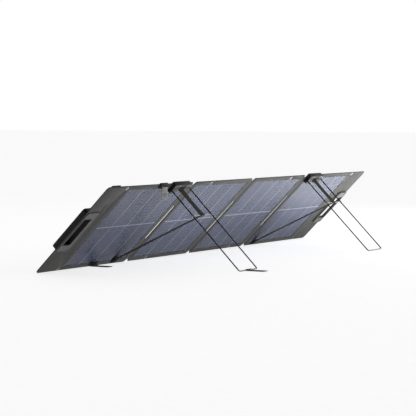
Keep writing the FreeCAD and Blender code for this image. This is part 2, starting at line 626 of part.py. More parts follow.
def make_tab(label, kind, eye, bore, flat, where, hanging=False):
    """A flat tab with a slot near its end, drawn about the pin that it turns on, with the tab along -Y.

    An eye that would reach below the ground is cut off level with the tab's underside.
    """
    width, length, hole_width, hole_length = (
        f"Size.{kind}_{of}" for of in ("width", "length", "hole_width", "hole_length"))
    hole_low = f"(Size.{kind}_hole_edge - {length})"
    body = start_body()
    outline = start_sketch(body)
    rectangle(outline, f"-{width} / 2", f"-{length}", width, length)
    pad(body, outline, "Size.tab_thickness")
    round_edges(body, f"Size.{kind}_corner", lambda edge: upright(edge) and edge.CenterOfMass.y < -1)
    hole = start_sketch(body)
    rectangle(hole, f"-{hole_width} / 2", hole_low, hole_width, hole_length)
    pocket(body, hole, back=True)
    beside = number(f"{hole_width} / 2") + 0.1
    round_edges(body, f"Size.{kind}_hole_round",
                upright_at((-beside, beside), (number(hole_low) - 0.1, number(f"{hole_low} + {hole_length}") + 0.1)))
    place(body, ("0", "0", f"-{flat}"))
    roll = rod((f"-{width} / 2", "0", "0"), eye, width, "x")
    hole_through = rod((f"-{width} / 2 - 1", "0", "0"), bore, f"{width} + 2", "x")
    tools = [hole_through]
    if not hanging:
        tools.append(block((f"-{width}", f"-2 * {eye}", f"-{flat} - {eye}"), (f"2 * {width}", f"4 * {eye}", eye)))
    stand(cut(fuse(body, roll), *tools), label, *where, turn="90" if hanging else "0")


def make_clip(label, across, width, tab_width, pin_up, pin_out, low, height, over):
    """A clip on a leaf's edge, with two ears that hold the pin of a tab."""
    base = block((f"{across} - {width} / 2", low, "0"), (width, height, "Size.clip_base"))
    parts = [base]
    for side in (-1, 1):
        inner = f"({tab_width} / 2 + Size.ear_gap)"
        start = f"{across} + {inner}" if side > 0 else f"{across} - {inner} - Size.ear_width"
        parts.append(rod((start, pin_up, pin_out), "Size.ear_radius", "Size.ear_width", "x"))
        parts.append(block((start, f"{pin_up} - Size.ear_radius", "0"),
                           ("Size.ear_width", "2 * Size.ear_radius", pin_out)))
    parts.append(rod((f"{across} - {tab_width} / 2 - Size.ear_gap - Size.ear_width", pin_up, pin_out),
                     "Size.clip_pin", f"{tab_width} + 2 * (Size.ear_gap + Size.ear_width)", "x"))
    if over:
        parts.append(block((f"{across} - {width} / 2", "Size.panel_height", "-Size.board - Size.flange_thickness"),
                           (width, "Size.flange_thickness + 1",
                            "Size.clip_base + Size.board + Size.flange_thickness")))
        parts.append(block((f"{across} - {width} / 2", f"Size.panel_height - {height}",
                            "-Size.board - Size.flange_thickness"), (width, height, "Size.flange_thickness")))
        parts.append(rod((f"{across} - {width} / 2 + Size.boss_radius", f"{pin_up} - Size.boss_drop", "0"),
                         "Size.boss_radius", "Size.boss_length"))
    stand(fuse(*parts), label)


def make_tabs():
    """One tab that hangs from the top edge, one that lies under the bottom edge and one on the left leg's foot."""
    make_clip("top_tab_clip", "Size.top_clip_at", "Size.top_clip_width", "Size.small_tab_width",
              "Size.top_pin_height", "Size.top_pin_out", "Size.panel_height - Size.clip_height",
              "Size.clip_height", True)
    make_tab("hanging_tab", "small_tab", "Size.eye_outer", "Size.clip_pin + Size.eye_clearance",
             "Size.tab_thickness / 2", ("Size.top_clip_at", "Size.top_pin_height", "Size.top_pin_out"), hanging=True)
    pin_up = "(Size.bottom_pin_out + Size.eye_outer / cos(Size.lean))"
    make_clip("bottom_tab_clip", "Size.tab_at", "Size.bottom_clip_width", "Size.tab_width", pin_up,
              "Size.bottom_pin_out", "Size.clip_base + 1", "Size.clip_height", False)
    make_tab("bottom_tab", "tab", "Size.eye_outer", "Size.clip_pin + Size.eye_clearance", "Size.eye_outer",
             ("Size.tab_at", pin_up, "Size.bottom_pin_out"))
    make_tab("foot_tab", "tab", "Size.snap_outer", "Size.wire + Size.snap_clearance", "Size.wire",
             ("Size.bracket_1", "Size.hinge_height", FOOT_OUT))


def main():
    """Builds the panel, checks every piece and writes one STEP file for each node."""
    for leaf in (1, 2, 3, 4):
        make_border(leaf)
        make_laminate(leaf)
        make_eyelets(leaf)
    for seam in (1, 2, 3):
        make_seam(seam)
    make_handles()
    make_rivets()
    make_junction_box()
    for leg in (1, 2):
        middle = f"Size.bracket_{leg}"
        make_bracket(leg, middle)
        make_leg(leg, middle)
        make_straps(leg, middle)
    make_tabs()
    doc.recompute()
    for item in doc.Objects:
        faults = {"Invalid", "Error"} & set(item.State)
        assert not faults, f"{item.Name} ({item.Label}) is {faults}"
    os.makedirs("parts", exist_ok=True)
    for item in NODES:
        shape = item.Shape
        assert not shape.isNull() and shape.isValid() and shape.Solids, f"{item.Label} is not a valid solid"
        shape.exportStep(f"parts/{item.Label}.step")
    print(len(NODES), "nodes")


main()
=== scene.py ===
"""Looks of a folding solar panel of four leaves that stands on two wire legs.

Sizes are in millimetres and pieces are drawn on the flat panel: X runs along it from the middle seam, Y up its slope
from the bottom edge and Z out of its rear face. LEAN then takes a mesh to the leaning panel's place, in metres.
"""

import logging
import math
from collections.abc import Iterable
from dataclasses import dataclass
from enum import Enum
from functools import partial

import bmesh
import bpy
from mathutils import Matrix, Vector


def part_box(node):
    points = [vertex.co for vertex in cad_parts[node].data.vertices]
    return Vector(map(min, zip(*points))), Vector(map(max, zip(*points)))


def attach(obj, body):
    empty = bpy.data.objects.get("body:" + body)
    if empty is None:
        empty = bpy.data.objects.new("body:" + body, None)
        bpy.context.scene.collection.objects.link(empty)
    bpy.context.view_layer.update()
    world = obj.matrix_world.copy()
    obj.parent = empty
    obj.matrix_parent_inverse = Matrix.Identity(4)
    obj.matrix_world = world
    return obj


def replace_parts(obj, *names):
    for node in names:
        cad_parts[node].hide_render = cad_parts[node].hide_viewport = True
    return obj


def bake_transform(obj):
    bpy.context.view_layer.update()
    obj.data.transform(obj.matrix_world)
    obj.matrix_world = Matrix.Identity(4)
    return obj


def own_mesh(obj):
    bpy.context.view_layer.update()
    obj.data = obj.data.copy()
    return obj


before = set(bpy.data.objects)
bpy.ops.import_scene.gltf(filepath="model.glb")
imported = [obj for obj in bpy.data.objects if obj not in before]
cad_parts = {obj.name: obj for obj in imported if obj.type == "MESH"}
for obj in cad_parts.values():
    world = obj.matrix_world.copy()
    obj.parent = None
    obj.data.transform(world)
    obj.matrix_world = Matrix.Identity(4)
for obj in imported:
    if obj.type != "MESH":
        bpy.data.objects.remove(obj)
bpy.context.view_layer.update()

LOG = logging.getLogger("folding_panel")

MM = 0.001
TILT = math.radians(135)
HALF_ROOT = math.sqrt(0.5)
OUT = Vector((0, -HALF_ROOT, -HALF_ROOT))

# The panel as a whole, as its CAD source has it.
BOARD = 3.5
LEAF_PITCH = 499.5
PANEL_HEIGHT = 470
HALF_LENGTH = 1130.25
SEAM_GAP = 25
AREA = (432, 425)
EDGE_BORDER = 22.5
COLUMN_PITCH = 109

# Where the thin layers lie out of the rear face: each a low and a high side, rear layer first.
FILM_LAYERS = {"rear": (-1.2, -0.3), "front": (-3.2, -2.3)}
BUS_TAPE_LAYERS = ((-1.29, -1.21), (-2.29, -2.21))
PAD_LAYERS = ((-1.56, -1.36), (-2.14, -1.94))

BOTTOM_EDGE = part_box("leaf_2_border")[1].y - BOARD * MM * HALF_ROOT
LEAN = Matrix.Translation((0, BOTTOM_EDGE, 0)) @ Matrix.Rotation(TILT, 4, "X") @ Matrix.Scale(MM, 4)

Colour = tuple[float, float, float, float]


# --- finishes ----------------------------------------------------------------------------------------------------

def linear(hex_colour: str) -> Colour:
    """Turns an sRGB hex colour to linear.

    Args:
        hex_colour: The colour as six hex digits after a hash.

    Returns:
        Its linear red, green and blue, and an alpha of 1.
    """
    channels = [int(hex_colour[start:start + 2], 16) / 255 for start in (1, 3, 5)]
    red, green, blue = [c / 12.92 if c <= 0.04045 else ((c + 0.055) / 1.055) ** 2.4 for c in channels]
    return red, green, blue, 1.0


def add_node(tree: bpy.types.NodeTree, kind: str, inputs: dict | None = None, **settings: object) -> bpy.types.Node:
    """Adds a node with its settings, its sockets' values and its links.

    Args:
        tree: The node tree that takes it.
        kind: The node's type, without the ShaderNode that every type starts with.
        inputs: For each input, by its name or number: a value, an output socket to link, or a node whose first
            output is linked.
        settings: The node's own properties.

    Returns:
        The new node.
    """
    node = tree.nodes.new(f"ShaderNode{kind}")
    for name, value in settings.items():
        setattr(node, name, value)
    for socket, value in (inputs or {}).items():
        if isinstance(value, bpy.types.Node):
            value = value.outputs[0]
        if isinstance(value, bpy.types.NodeSocket):
            tree.links.new(value, node.inputs[socket])
        else:
            node.inputs[socket].default_value = value
    return node


def clouds(tree: bpy.types.NodeTree, place: bpy.types.NodeSocket, size: float,
           detail: float = 2) -> bpy.types.NodeSocket:
    """A soft noise from 0 to 1 whose features are about size millimetres across.

    Args:
        tree: The material's node tree.
        place: The point that the noise is drawn on.
        size: The features' size in millimetres.
        detail: How many finer layers of noise it has.

    Returns:
        The output socket that holds the noise.
    """
    noise = add_node(tree, "TexNoise", {"Vector": place, "Scale": 1 / size, "Detail": detail})
    return add_node(tree, "MapRange", {"Value": noise.outputs["Fac"], "From Min": 0.3, "From Max": 0.7},
                    interpolation_type="SMOOTHSTEP").outputs["Result"]


@dataclass(frozen=True)
class Finish:
    """What a surface is made of and how it was finished."""

    name: str
    colour: str
    roughness: float = 0.5

    def place(self, tree: bpy.types.NodeTree) -> bpy.types.NodeSocket:
        """The point of the flat panel, in millimetres, that a point of the leaning panel comes from.

        Args:
            tree: The material's node tree.

        Returns:
            The output socket that holds the point.
        """
        own = add_node(tree, "TexCoord").outputs["Object"]
        return add_node(tree, "Mapping", {
            "Vector": own, "Location": (0, BOTTOM_EDGE, 0), "Rotation": (TILT, 0, 0), "Scale": (MM,) * 3,
        }, vector_type="TEXTURE").outputs["Vector"]

    def surface(self, tree: bpy.types.NodeTree, place: bpy.types.NodeSocket) -> bpy.types.NodeSocket:
        """Builds the finish's own nodes."""
        raise NotImplementedError

    def make(self) -> bpy.types.Material:
        """The finish's material, which is built once.

        Returns:
            The material.
        """
        made = bpy.data.materials.get(self.name)
        if made:
            return made
        made = bpy.data.materials.new(self.name)
        made.use_nodes = True
        made.node_tree.nodes.clear()
        shader = self.surface(made.node_tree, self.place(made.node_tree))
        add_node(made.node_tree, "OutputMaterial", {"Surface": shader})
        return made


@dataclass(frozen=True)
class WovenFabric(Finish):
    """Plain-woven polyester with a polyurethane coat: dull, faintly ribbed both ways, and cloudy from handling.

    The threads are 0.6 mm apart. They are drawn at two and a half times that, because they wouldn't show otherwise.
    """

    light: str = "#808080"
    thread: float = 1.5
    cloud: float = 34
    roughness: float = 0.7

    def surface(self, tree: bpy.types.NodeTree, place: bpy.types.NodeSocket) -> bpy.types.NodeSocket:
        """Crossed threads with a mottled shade.

        Args:
            tree: The material's node tree.
            place: The point that patterns are drawn on.

        Returns:
            The shader's output socket.
        """
        add = partial(add_node, tree)
        axes = add("SeparateXYZ", {"Vector": place})
        turns = 2 * math.pi / self.thread
        warp, weft = (
            add("Math", {0: add("Math", {0: axes.outputs[axis], 1: turns}, operation="MULTIPLY")}, operation="SINE")
            for axis in "XY"
        )
        crossed = add("Math", {0: warp, 1: weft}, operation="MULTIPLY")
        weave = add("Math", {0: crossed, 1: 0.5, 2: 0.5}, operation="MULTIPLY_ADD")
        yarn = clouds(tree, place, 3 * self.thread, 4)
        cloudy = clouds(tree, place, self.cloud)
        shade = add("Math", {0: yarn, 1: 0.35}, operation="MULTIPLY")
        shade = add("Math", {0: weave, 1: 0.3, 2: shade}, operation="MULTIPLY_ADD")
        shade = add("Math", {0: cloudy, 1: 0.35, 2: shade}, operation="MULTIPLY_ADD")
        colour = add("Mix", {0: shade, 6: linear(self.colour), 7: linear(self.light)}, data_type="RGBA")
        relief = add("Math", {0: yarn, 1: 0.3, 2: weave}, operation="MULTIPLY_ADD")
        return add("BsdfPrincipled", {
            "Base Color": colour.outputs[2], "IOR": 1.5, "Specular IOR Level": 0.25, "Sheen Weight": 0.04,
            "Roughness": add("MapRange", {
                "Value": cloudy, "To Min": self.roughness - 0.06, "To Max": self.roughness + 0.08}),
            "Normal": add("Bump", {"Height": relief, "Strength": 0.35, "Distance": 0.15 * MM}),
        }).outputs[0]


@dataclass(frozen=True)
class Webbing(Finish):
    """Ribbed polyester webbing: close ribs across its length, a firmer selvedge along each side and a low sheen.

    It follows the strap by the strap's own attributes. The ribs are drawn 2.4 mm apart, twice the real spacing.
    """

    light: str = "#6A6862"
    rib: float = 2.4
    half_width: float = 16
    selvedge: float = 2.2
    roughness: float = 0.82

    def place(self, tree: bpy.types.NodeTree) -> bpy.types.NodeSocket:
        """The point's distance across and along the strap, in millimetres.

        Args:
            tree: The material's node tree.

        Returns:
            The output socket that holds the point.
        """
        across, along = (add_node(tree, "Attribute", attribute_name=name).outputs["Fac"]
                         for name in ("across", "along"))
        return add_node(tree, "CombineXYZ", {"X": across, "Y": along}).outputs["Vector"]

    def surface(self, tree: bpy.types.NodeTree, place: bpy.types.NodeSocket) -> bpy.types.NodeSocket:
        """Ribs that step by half from one column of yarns to the next.

        Args:
            tree: The material's node tree.
            place: The point that patterns are drawn on.

        Returns:
            The shader's output socket.
        """
        add = partial(add_node, tree)
        axes = add("SeparateXYZ", {"Vector": place})
        column = add("Math", {0: axes.outputs["X"], 1: 2 * self.rib}, operation="DIVIDE")
        column = add("Math", {0: column}, operation="FLOOR")
        stepped = add("Math", {0: column, 1: self.rib / 2, 2: axes.outputs["Y"]}, operation="MULTIPLY_ADD")
        stepped = add("Math", {0: stepped, 1: 2 * math.pi / self.rib}, operation="MULTIPLY")
        ribs = add("Math", {0: stepped}, operation="SINE")
        ribs = add("Math", {0: ribs, 1: 0.5, 2: 0.5}, operation="MULTIPLY_ADD")
        side = add("Math", {0: axes.outputs["X"]}, operation="ABSOLUTE")
        side = add("Math", {0: side, 1: self.half_width - self.selvedge}, operation="GREATER_THAN")
        height = add("Math", {0: ribs, 1: side}, operation="MAXIMUM")
        yarn = clouds(tree, place, 5, 3)
        shade = add("Math", {0: yarn, 1: 0.45}, operation="MULTIPLY")
        shade = add("Math", {0: ribs, 1: 0.45, 2: shade}, operation="MULTIPLY_ADD")
        colour = add("Mix", {0: shade, 6: linear(self.colour), 7: linear(self.light)}, data_type="RGBA")
        return add("BsdfPrincipled", {
            "Base Color": colour.outputs[2], "IOR": 1.5, "Specular IOR Level": 0.04,
            "Roughness": add("MapRange", {
                "Value": yarn, "To Min": self.roughness - 0.08, "To Max": self.roughness + 0.1}),
            "Normal": add("Bump", {"Height": height, "Strength": 0.5, "Distance": 0.25 * MM}),
        }).outputs[0]


@dataclass(frozen=True)
class Thread(Finish):
    """Twisted polyester sewing thread: a little glossier than the cloth, with its twist as fine slanting bands."""

    light: str = "#6E6E6C"

    def surface(self, tree: bpy.types.NodeTree, place: bpy.types.NodeSocket) -> bpy.types.NodeSocket:
        """Slanting bands, 0.7 mm apart.

        Args:
            tree: The material's node tree.
            place: The point that patterns are drawn on.

        Returns:
            The shader's output socket.
        """
        add = partial(add_node, tree)
        bands = add("TexWave", {"Vector": place, "Scale": 0.45, "Distortion": 0.4},
                    bands_direction="DIAGONAL").outputs["Fac"]
        colour = add("Mix", {0: bands, 6: linear(self.colour), 7: linear(self.light)}, data_type="RGBA")
        return add("BsdfPrincipled", {
            "Base Color": colour.outputs[2], "IOR": 1.5,
            "Roughness": add("MapRange", {
                "Value": bands, "To Min": self.roughness, "To Max": self.roughness + 0.15}),
        }).outputs[0]


@dataclass(frozen=True)
class MouldedPlastic(Finish):
    """Injection-moulded ABS or nylon from a spark-eroded mould: an even satin grain, with slight flow clouds.

    The grain is drawn 0.9 mm across, about three times the real one.
    """

    light: str = "#303030"
    grain: float = 0.9
    relief: float = 0.25

    def surface(self, tree: bpy.types.NodeTree, place: bpy.types.NodeSocket) -> bpy.types.NodeSocket:
        """Fine grain, clouds of shade and scuffs that polish it a little.

        Args:
            tree: The material's node tree.
            place: The point that patterns are drawn on.

        Returns:
            The shader's output socket.
        """
        add = partial(add_node, tree)
        grain = clouds(tree, place, self.grain, 3)
        cloudy = clouds(tree, place, 22, 3)
        scuffs = clouds(tree, place, 7, 6)
        shade = add("Math", {0: scuffs, 1: 0.3}, operation="MULTIPLY")
        shade = add("Math", {0: cloudy, 1: 0.55, 2: shade}, operation="MULTIPLY_ADD")
        colour = add("Mix", {0: shade, 6: linear(self.colour), 7: linear(self.light)}, data_type="RGBA")
        return add("BsdfPrincipled", {
            "Base Color": colour.outputs[2], "IOR": 1.53, "Specular IOR Level": 0.22,
            "Roughness": add("MapRange", {
                "Value": scuffs, "To Min": self.roughness + 0.06, "To Max": self.roughness - 0.08}),
            "Normal": add("Bump", {"Height": grain, "Strength": self.relief, "Distance": 0.08 * MM}),
        }).outputs[0]


@dataclass(frozen=True)
class PlatedMetal(Finish):
    """Plated or tinned metal: a satin mirror with drawn lines and patches where the plating is duller."""

    light: str = "#D8D9DC"
    stretch: tuple[float, float, float] = (0.1, 1, 1)
    line: float = 0.6
    roughness: float = 0.32

    def surface(self, tree: bpy.types.NodeTree, place: bpy.types.NodeSocket) -> bpy.types.NodeSocket:
        """Lines drawn out along the metal, over dull patches.

        Args:
            tree: The material's node tree.
            place: The point that patterns are drawn on.

        Returns:
            The shader's output socket.
        """
        add = partial(add_node, tree)
        drawn = add("Mapping", {"Vector": place, "Scale": self.stretch}).outputs["Vector"]
        lines = clouds(tree, drawn, self.line, 3)
        dull = clouds(tree, place, 11, 3)
        colour = add("Mix", {0: dull, 6: linear(self.colour), 7: linear(self.light)}, data_type="RGBA")
        return add("BsdfPrincipled", {
            "Base Color": colour.outputs[2], "Metallic": 1.0,
            "Roughness": add("MapRange", {
                "Value": dull, "To Min": self.roughness - 0.08, "To Max": self.roughness + 0.14}),
            "Normal": add("Bump", {"Height": lines, "Strength": 0.2, "Distance": 0.05 * MM}),
        }).outputs[0]


@dataclass(frozen=True)
class PowderCoat(Finish):
    """Powder-coated steel wire: a satin black skin with orange peel, and grey metal where it stands on the ground.

    The grey metal starts a given depth in millimetres behind the panel's rear face. It is painted highlight: the light
    that the low foot bar catches, drawn as bare metal through the coat.
    """

    light: str = "#0E0E0F"
    # The two shades of the grey metal that paints the highlight on the foot.
    metal: str = "#5E5E5C"
    glint_metal_light: str = "#7C7C7A"
    peel: float = 1.6
    foot_glint_from: float = 444.0
    roughness: float = 0.42

    def surface(self, tree: bpy.types.NodeTree, place: bpy.types.NodeSocket) -> bpy.types.NodeSocket:
        """The coat over the grey metal of the foot, which is painted highlight.

        Args:
            tree: The material's node tree.
            place: The point that patterns are drawn on.

        Returns:
            The shader's output socket.
        """
        add = partial(add_node, tree)
        peel = clouds(tree, place, self.peel, 2)
        patches = clouds(tree, place, 6, 4)
        black, grey = (
            add("Mix", {0: patches, 6: linear(dark), 7: linear(light)}, data_type="RGBA").outputs[2]
            for dark, light in ((self.colour, self.light), (self.metal, self.glint_metal_light))
        )
        coat = add("BsdfPrincipled", {
            "Base Color": black, "IOR": 1.5, "Specular IOR Level": 0.2,
            "Roughness": add("MapRange", {
                "Value": patches, "To Min": self.roughness - 0.08, "To Max": self.roughness + 0.1}),
            "Normal": add("Bump", {"Height": peel, "Strength": 0.25, "Distance": 0.1 * MM}),
        })
        glint_metal = add("BsdfPrincipled", {
            "Base Color": grey, "Metallic": 1.0,
            "Roughness": add("MapRange", {"Value": patches, "To Min": 0.3, "To Max": 0.5}),
        })
        # Past a given depth the coat gives way to grey metal with a ragged edge: painted highlight on the foot bar.
        depth = add("SeparateXYZ", {"Vector": place}).outputs["Z"]
        ragged = add("Math", {0: patches, 1: 2, 2: depth}, operation="MULTIPLY_ADD")
        foot_glint = add("MapRange", {"Value": ragged, "From Min": self.foot_glint_from, "From Max": self.foot_glint_from + 2})
        return add("MixShader", {0: foot_glint, 1: coat, 2: glint_metal}).outputs[0]


@dataclass(frozen=True)
class ClearFilm(Finish):
    """Fluoropolymer film with a fine embossing: clear, slightly hazy, and with a blurred gloss at a low angle.

    The embossing is too fine to show, so it is given as roughness.
    """

    low_gloss: float = 0.02
    high_gloss: float = 0.19
    haze: float = 0.02
    roughness: float = 0.34

    def surface(self, tree: bpy.types.NodeTree, place: bpy.types.NodeSocket) -> bpy.types.NodeSocket:
        """Gloss and haze over what lies behind, on outward faces.

        Args:
            tree: The material's node tree.
            place: The point that patterns are drawn on.

        Returns:
            The shader's output socket.
        """
        add = partial(add_node, tree)
        smears = clouds(tree, place, 45, 4)
        gloss = add("BsdfGlossy", {
            "Color": linear("#FFFFFF"),
            "Roughness": add("MapRange", {
                "Value": smears, "To Min": self.roughness - 0.03, "To Max": self.roughness + 0.05}),
        })
        clear = add("BsdfTransparent", {"Color": linear(self.colour)})
        dust = add("BsdfDiffuse", {"Color": linear("#C8CAD0")})
        haze = add("MapRange", {"Value": smears, "To Min": 0.6 * self.haze, "To Max": 1.4 * self.haze})
        hazy = add("MixShader", {0: haze, 1: clear, 2: dust})
        # The share of light that a smooth dielectric reflects at this angle, after Schlick, on outward faces only.
        facing = add("LayerWeight", {"Blend": 0.5}).outputs["Facing"]
        grazing = add("Math", {0: facing, 1: 5}, operation="POWER")
        share = add("Math", {0: grazing, 1: self.high_gloss - self.low_gloss, 2: self.low_gloss},
                    operation="MULTIPLY_ADD")
        outward = add("Math", {0: 1, 1: add("NewGeometry").outputs["Backfacing"]}, operation="SUBTRACT")
        share = add("Math", {0: share, 1: outward}, operation="MULTIPLY")
        return add("MixShader", {0: share, 1: hazy, 2: gloss}).outputs[0]


@dataclass(frozen=True)
class MilkySheet(Finish):
    """A milky polymer sheet, as encapsulant or as tape: an even pale shade that lets some light through."""

    light: str = "#C6C8D0"

    def surface(self, tree: bpy.types.NodeTree, place: bpy.types.NodeSocket) -> bpy.types.NodeSocket:
        """Light scattered back and light scattered through.

        Args:
            tree: The material's node tree.
            place: The point that patterns are drawn on.

        Returns:
            The shader's output socket.
        """
        add = partial(add_node, tree)
        milk = add("Mix", {0: clouds(tree, place, 16, 3), 6: linear(self.colour), 7: linear(self.light)},
                   data_type="RGBA").outputs[2]
        back, through = (add(f"Bsdf{way}", {"Color": milk}) for way in ("Diffuse", "Translucent"))
        return add("MixShader", {0: 0.4, 1: back, 2: through}).outputs[0]


@dataclass(frozen=True)
class SiliconCell(Finish):
    """The rear of a bifacial silicon cell: blue-grey nitride under fine printed silver lines, each cell a shade apart.

    The lines are drawn 2.2 mm apart, one and a half times the real spacing. From the front the nitride is darker.
    """

    light: str = "#3D4560"
    sun_side: str = "#141A2C"
    light_sun_side: str = "#1B2238"
    silver: str = "#5A5E6A"
    window_left: float = 33.75
    row: float = 235
    line: float = 2.2
    line_share: float = 0.1

    def surface(self, tree: bpy.types.NodeTree, place: bpy.types.NodeSocket) -> bpy.types.NodeSocket:
        """A shade for each cell, clouds in the nitride and the printed lines.

        Args:
            tree: The material's node tree.
            place: The point that patterns are drawn on.

        Returns:
            The shader's output socket.
        """
        add = partial(add_node, tree)
        axes = add("SeparateXYZ", {"Vector": place})
        along = add("Math", {0: axes.outputs["X"], 1: LEAF_PITCH}, operation="FLOORED_MODULO")
        along = add("Math", {0: along, 1: self.window_left}, operation="SUBTRACT")
        leaf, column, row = (
            add("Math", {0: add("Math", {0: value, 1: pitch}, operation="DIVIDE")}, operation="FLOOR")
            for value, pitch in ((axes.outputs["X"], LEAF_PITCH), (along, COLUMN_PITCH), (axes.outputs["Y"], self.row))
        )
        which = add("CombineXYZ", {"X": column, "Y": row, "Z": leaf})
        batch = add("TexWhiteNoise", {"Vector": which}).outputs["Value"]
        cloudy = clouds(tree, place, 40, 4)
        shade = add("Math", {0: cloudy, 1: 0.5}, operation="MULTIPLY")
        shade = add("Math", {0: batch, 1: 0.5, 2: shade}, operation="MULTIPLY_ADD")
        rear, front = (
            add("Mix", {0: shade, 6: linear(dark), 7: linear(light)}, data_type="RGBA").outputs[2]
            for dark, light in ((self.colour, self.light), (self.sun_side, self.light_sun_side))
        )
        depth = add("Math", {0: axes.outputs["Z"], 1: -BOARD / 2}, operation="GREATER_THAN")
        nitride = add("Mix", {0: depth, 6: front, 7: rear}, data_type="RGBA").outputs[2]
        lines = add("Math", {0: along, 1: self.line}, operation="DIVIDE")
        lines = add("Math", {0: lines}, operation="FRACT")
        lines = add("Math", {0: lines, 1: self.line_share}, operation="LESS_THAN")
        lines = add("Math", {0: lines, 1: 0.55}, operation="MULTIPLY")
        colour = add("Mix", {0: lines, 6: nitride, 7: linear(self.silver)}, data_type="RGBA")
        return add("BsdfPrincipled", {
            "Base Color": colour.outputs[2], "IOR": 1.5, "Specular IOR Level": 0.12,
            "Roughness": add("MapRange", {"Value": cloudy, "To Min": 0.5, "To Max": 0.62}),
        }).outputs[0]


@dataclass(frozen=True)
class SolderResist(Finish):
    """A circuit board's solder resist: glossy green lacquer with the copper tracks as raised lighter lines."""

    light: str = "#0F4A26"
    track: str = "#1C6B38"

    def surface(self, tree: bpy.types.NodeTree, place: bpy.types.NodeSocket) -> bpy.types.NodeSocket:
        """Tracks 6 mm apart under the lacquer.

        Args:
            tree: The material's node tree.
            place: The point that patterns are drawn on.

        Returns:
            The shader's output socket.
        """
        add = partial(add_node, tree)
        tracks = add("TexBrick", {
            "Vector": place, "Color1": linear(self.colour), "Color2": linear(self.light),
            "Mortar": linear(self.track), "Scale": 1.0, "Brick Width": 13.0, "Row Height": 6.0, "Mortar Size": 0.6,
        })
        raised = tracks.outputs["Fac"]
        return add("BsdfPrincipled", {
            "Base Color": tracks.outputs["Color"], "IOR": 1.5,
            "Roughness": add("MapRange", {"Value": raised, "To Min": 0.25, "To Max": 0.4}),
            "Normal": add("Bump", {"Height": raised, "Strength": 0.3, "Distance": 0.1 * MM}),
        }).outputs[0]


@dataclass(frozen=True)
class StudioPaper(Finish):
    """Matt white paper over a light table: pale all over, with the faintest fibre, and a little lit from below."""

    glow: float = 0.72

    def surface(self, tree: bpy.types.NodeTree, place: bpy.types.NodeSocket) -> bpy.types.NodeSocket:
        """A flat white with a trace of fibre.

        Args:
            tree: The material's node tree.
            place: The point that patterns are drawn on.

        Returns:
            The shader's output socket.
        """
        add = partial(add_node, tree)
        fibre = add("Mix", {0: clouds(tree, place, 30, 2), 6: linear(self.colour), 7: linear("#FFFFFF")},
                    data_type="RGBA")
        return add("BsdfPrincipled", {
            "Base Color": fibre.outputs[2], "Roughness": 0.9, "Specular IOR Level": 0.1,
            "Emission Color": linear("#FFFFFF"), "Emission Strength": self.glow,
        }).outputs[0]


BORDER_CLOTH = WovenFabric("woven_polyester_grey", "#2B2B2A", light="#3E3E3C")
# A darker copy of the border cloth: painted shade for the board's edge faces and the slot walls, not a real binding.
EDGE_PAINTED_SHADE = WovenFabric("woven_edge_binding", "#0E0E0D", light="#1C1C1B", thread=1.2, cloud=20)
SEAM_CLOTH = WovenFabric("woven_polyester_hinge", "#2B2B2A", light="#3E3E3C", cloud=26)
SEWING_THREAD = Thread("polyester_thread_grey", "#2B2B2A", 0.5)
STRAP_WEBBING = Webbing("polyester_webbing_charcoal", "#33322E", light="#565550")
# The strap's webbing darkened to near black: painted shade for the lower strap and the anchor.
STAY_WEBBING_PAINTED_SHADE = Webbing("polyester_webbing_black", "#090908", light="#161613")
STRAP_THREAD = Thread("polyester_thread_black", "#161615", 0.45, light="#4A4A48")
FILM = ClearFilm("embossed_fluoropolymer_film", "#F4F5F8")
MILK = MilkySheet("milky_polyolefin_encapsulant", "#A6A9B2")
CELL = SiliconCell("bifacial_silicon_cell", "#2B3147")
TINNED_COPPER = PlatedMetal("tinned_copper_ribbon", "#4E515C", light="#6C6F7A", stretch=(0.05, 1, 1), line=3,
                            roughness=0.45)
BUS_TAPE = MilkySheet("white_polyester_bus_tape", "#A8AAB4")
NICKEL = PlatedMetal("nickel_plated_eyelet", "#6A6A6A", light="#A0A09E", stretch=(1, 1, 0.2), roughness=0.24)
ZINC_PLATE = PlatedMetal("zinc_plated_screw", "#8E9092", light="#C3C6C9", stretch=(1, 1, 0.2))
BARE_STEEL = PlatedMetal("satin_steel_crossbar", "#6A6866", light="#A09E9A", roughness=0.36)
# Stoved enamel on a small rivet: a thick black skin, as smooth as fine plastic, so it is drawn as one.
BLACK_RIVET = MouldedPlastic("black_enamel_rivet", "#050505", 0.4, light="#0C0C0D", relief=0.1)
BLACK_COAT = PowderCoat("black_powder_coat_wire", "#050505")
GREY_ABS = MouldedPlastic("moulded_abs_grey", "#3C3C3B", 0.46, light="#4C4C4B")
BLACK_ABS = MouldedPlastic("moulded_abs_black", "#0E0E0F", 0.5, light="#1A1A1B")
BLACK_NYLON = MouldedPlastic("moulded_nylon_black", "#0B0B0C", 0.5, light="#181819")
COVER_NYLON = MouldedPlastic("moulded_nylon_grey_cover", "#434342", 0.5, light="#545453")
TAB_NYLON = MouldedPlastic("moulded_nylon_grey_tab", "#6A6A68", 0.48, light="#868684")
# The same tab moulding, darkened: painted shade on the tabs at the bottom edge and on the foot.
TAB_NYLON_PAINTED_SHADE = MouldedPlastic("moulded_nylon_dark_tab", "#1E1E1E", 0.45, light="#343433")
EPOXY = MouldedPlastic("moulded_epoxy_diode", "#0B0B0C", 0.3, light="#1A1A1C", relief=0.1)
RESIST = SolderResist("green_solder_resist", "#0B3A1E")
PAPER = StudioPaper("matt_white_paper", "#F6F6F6")

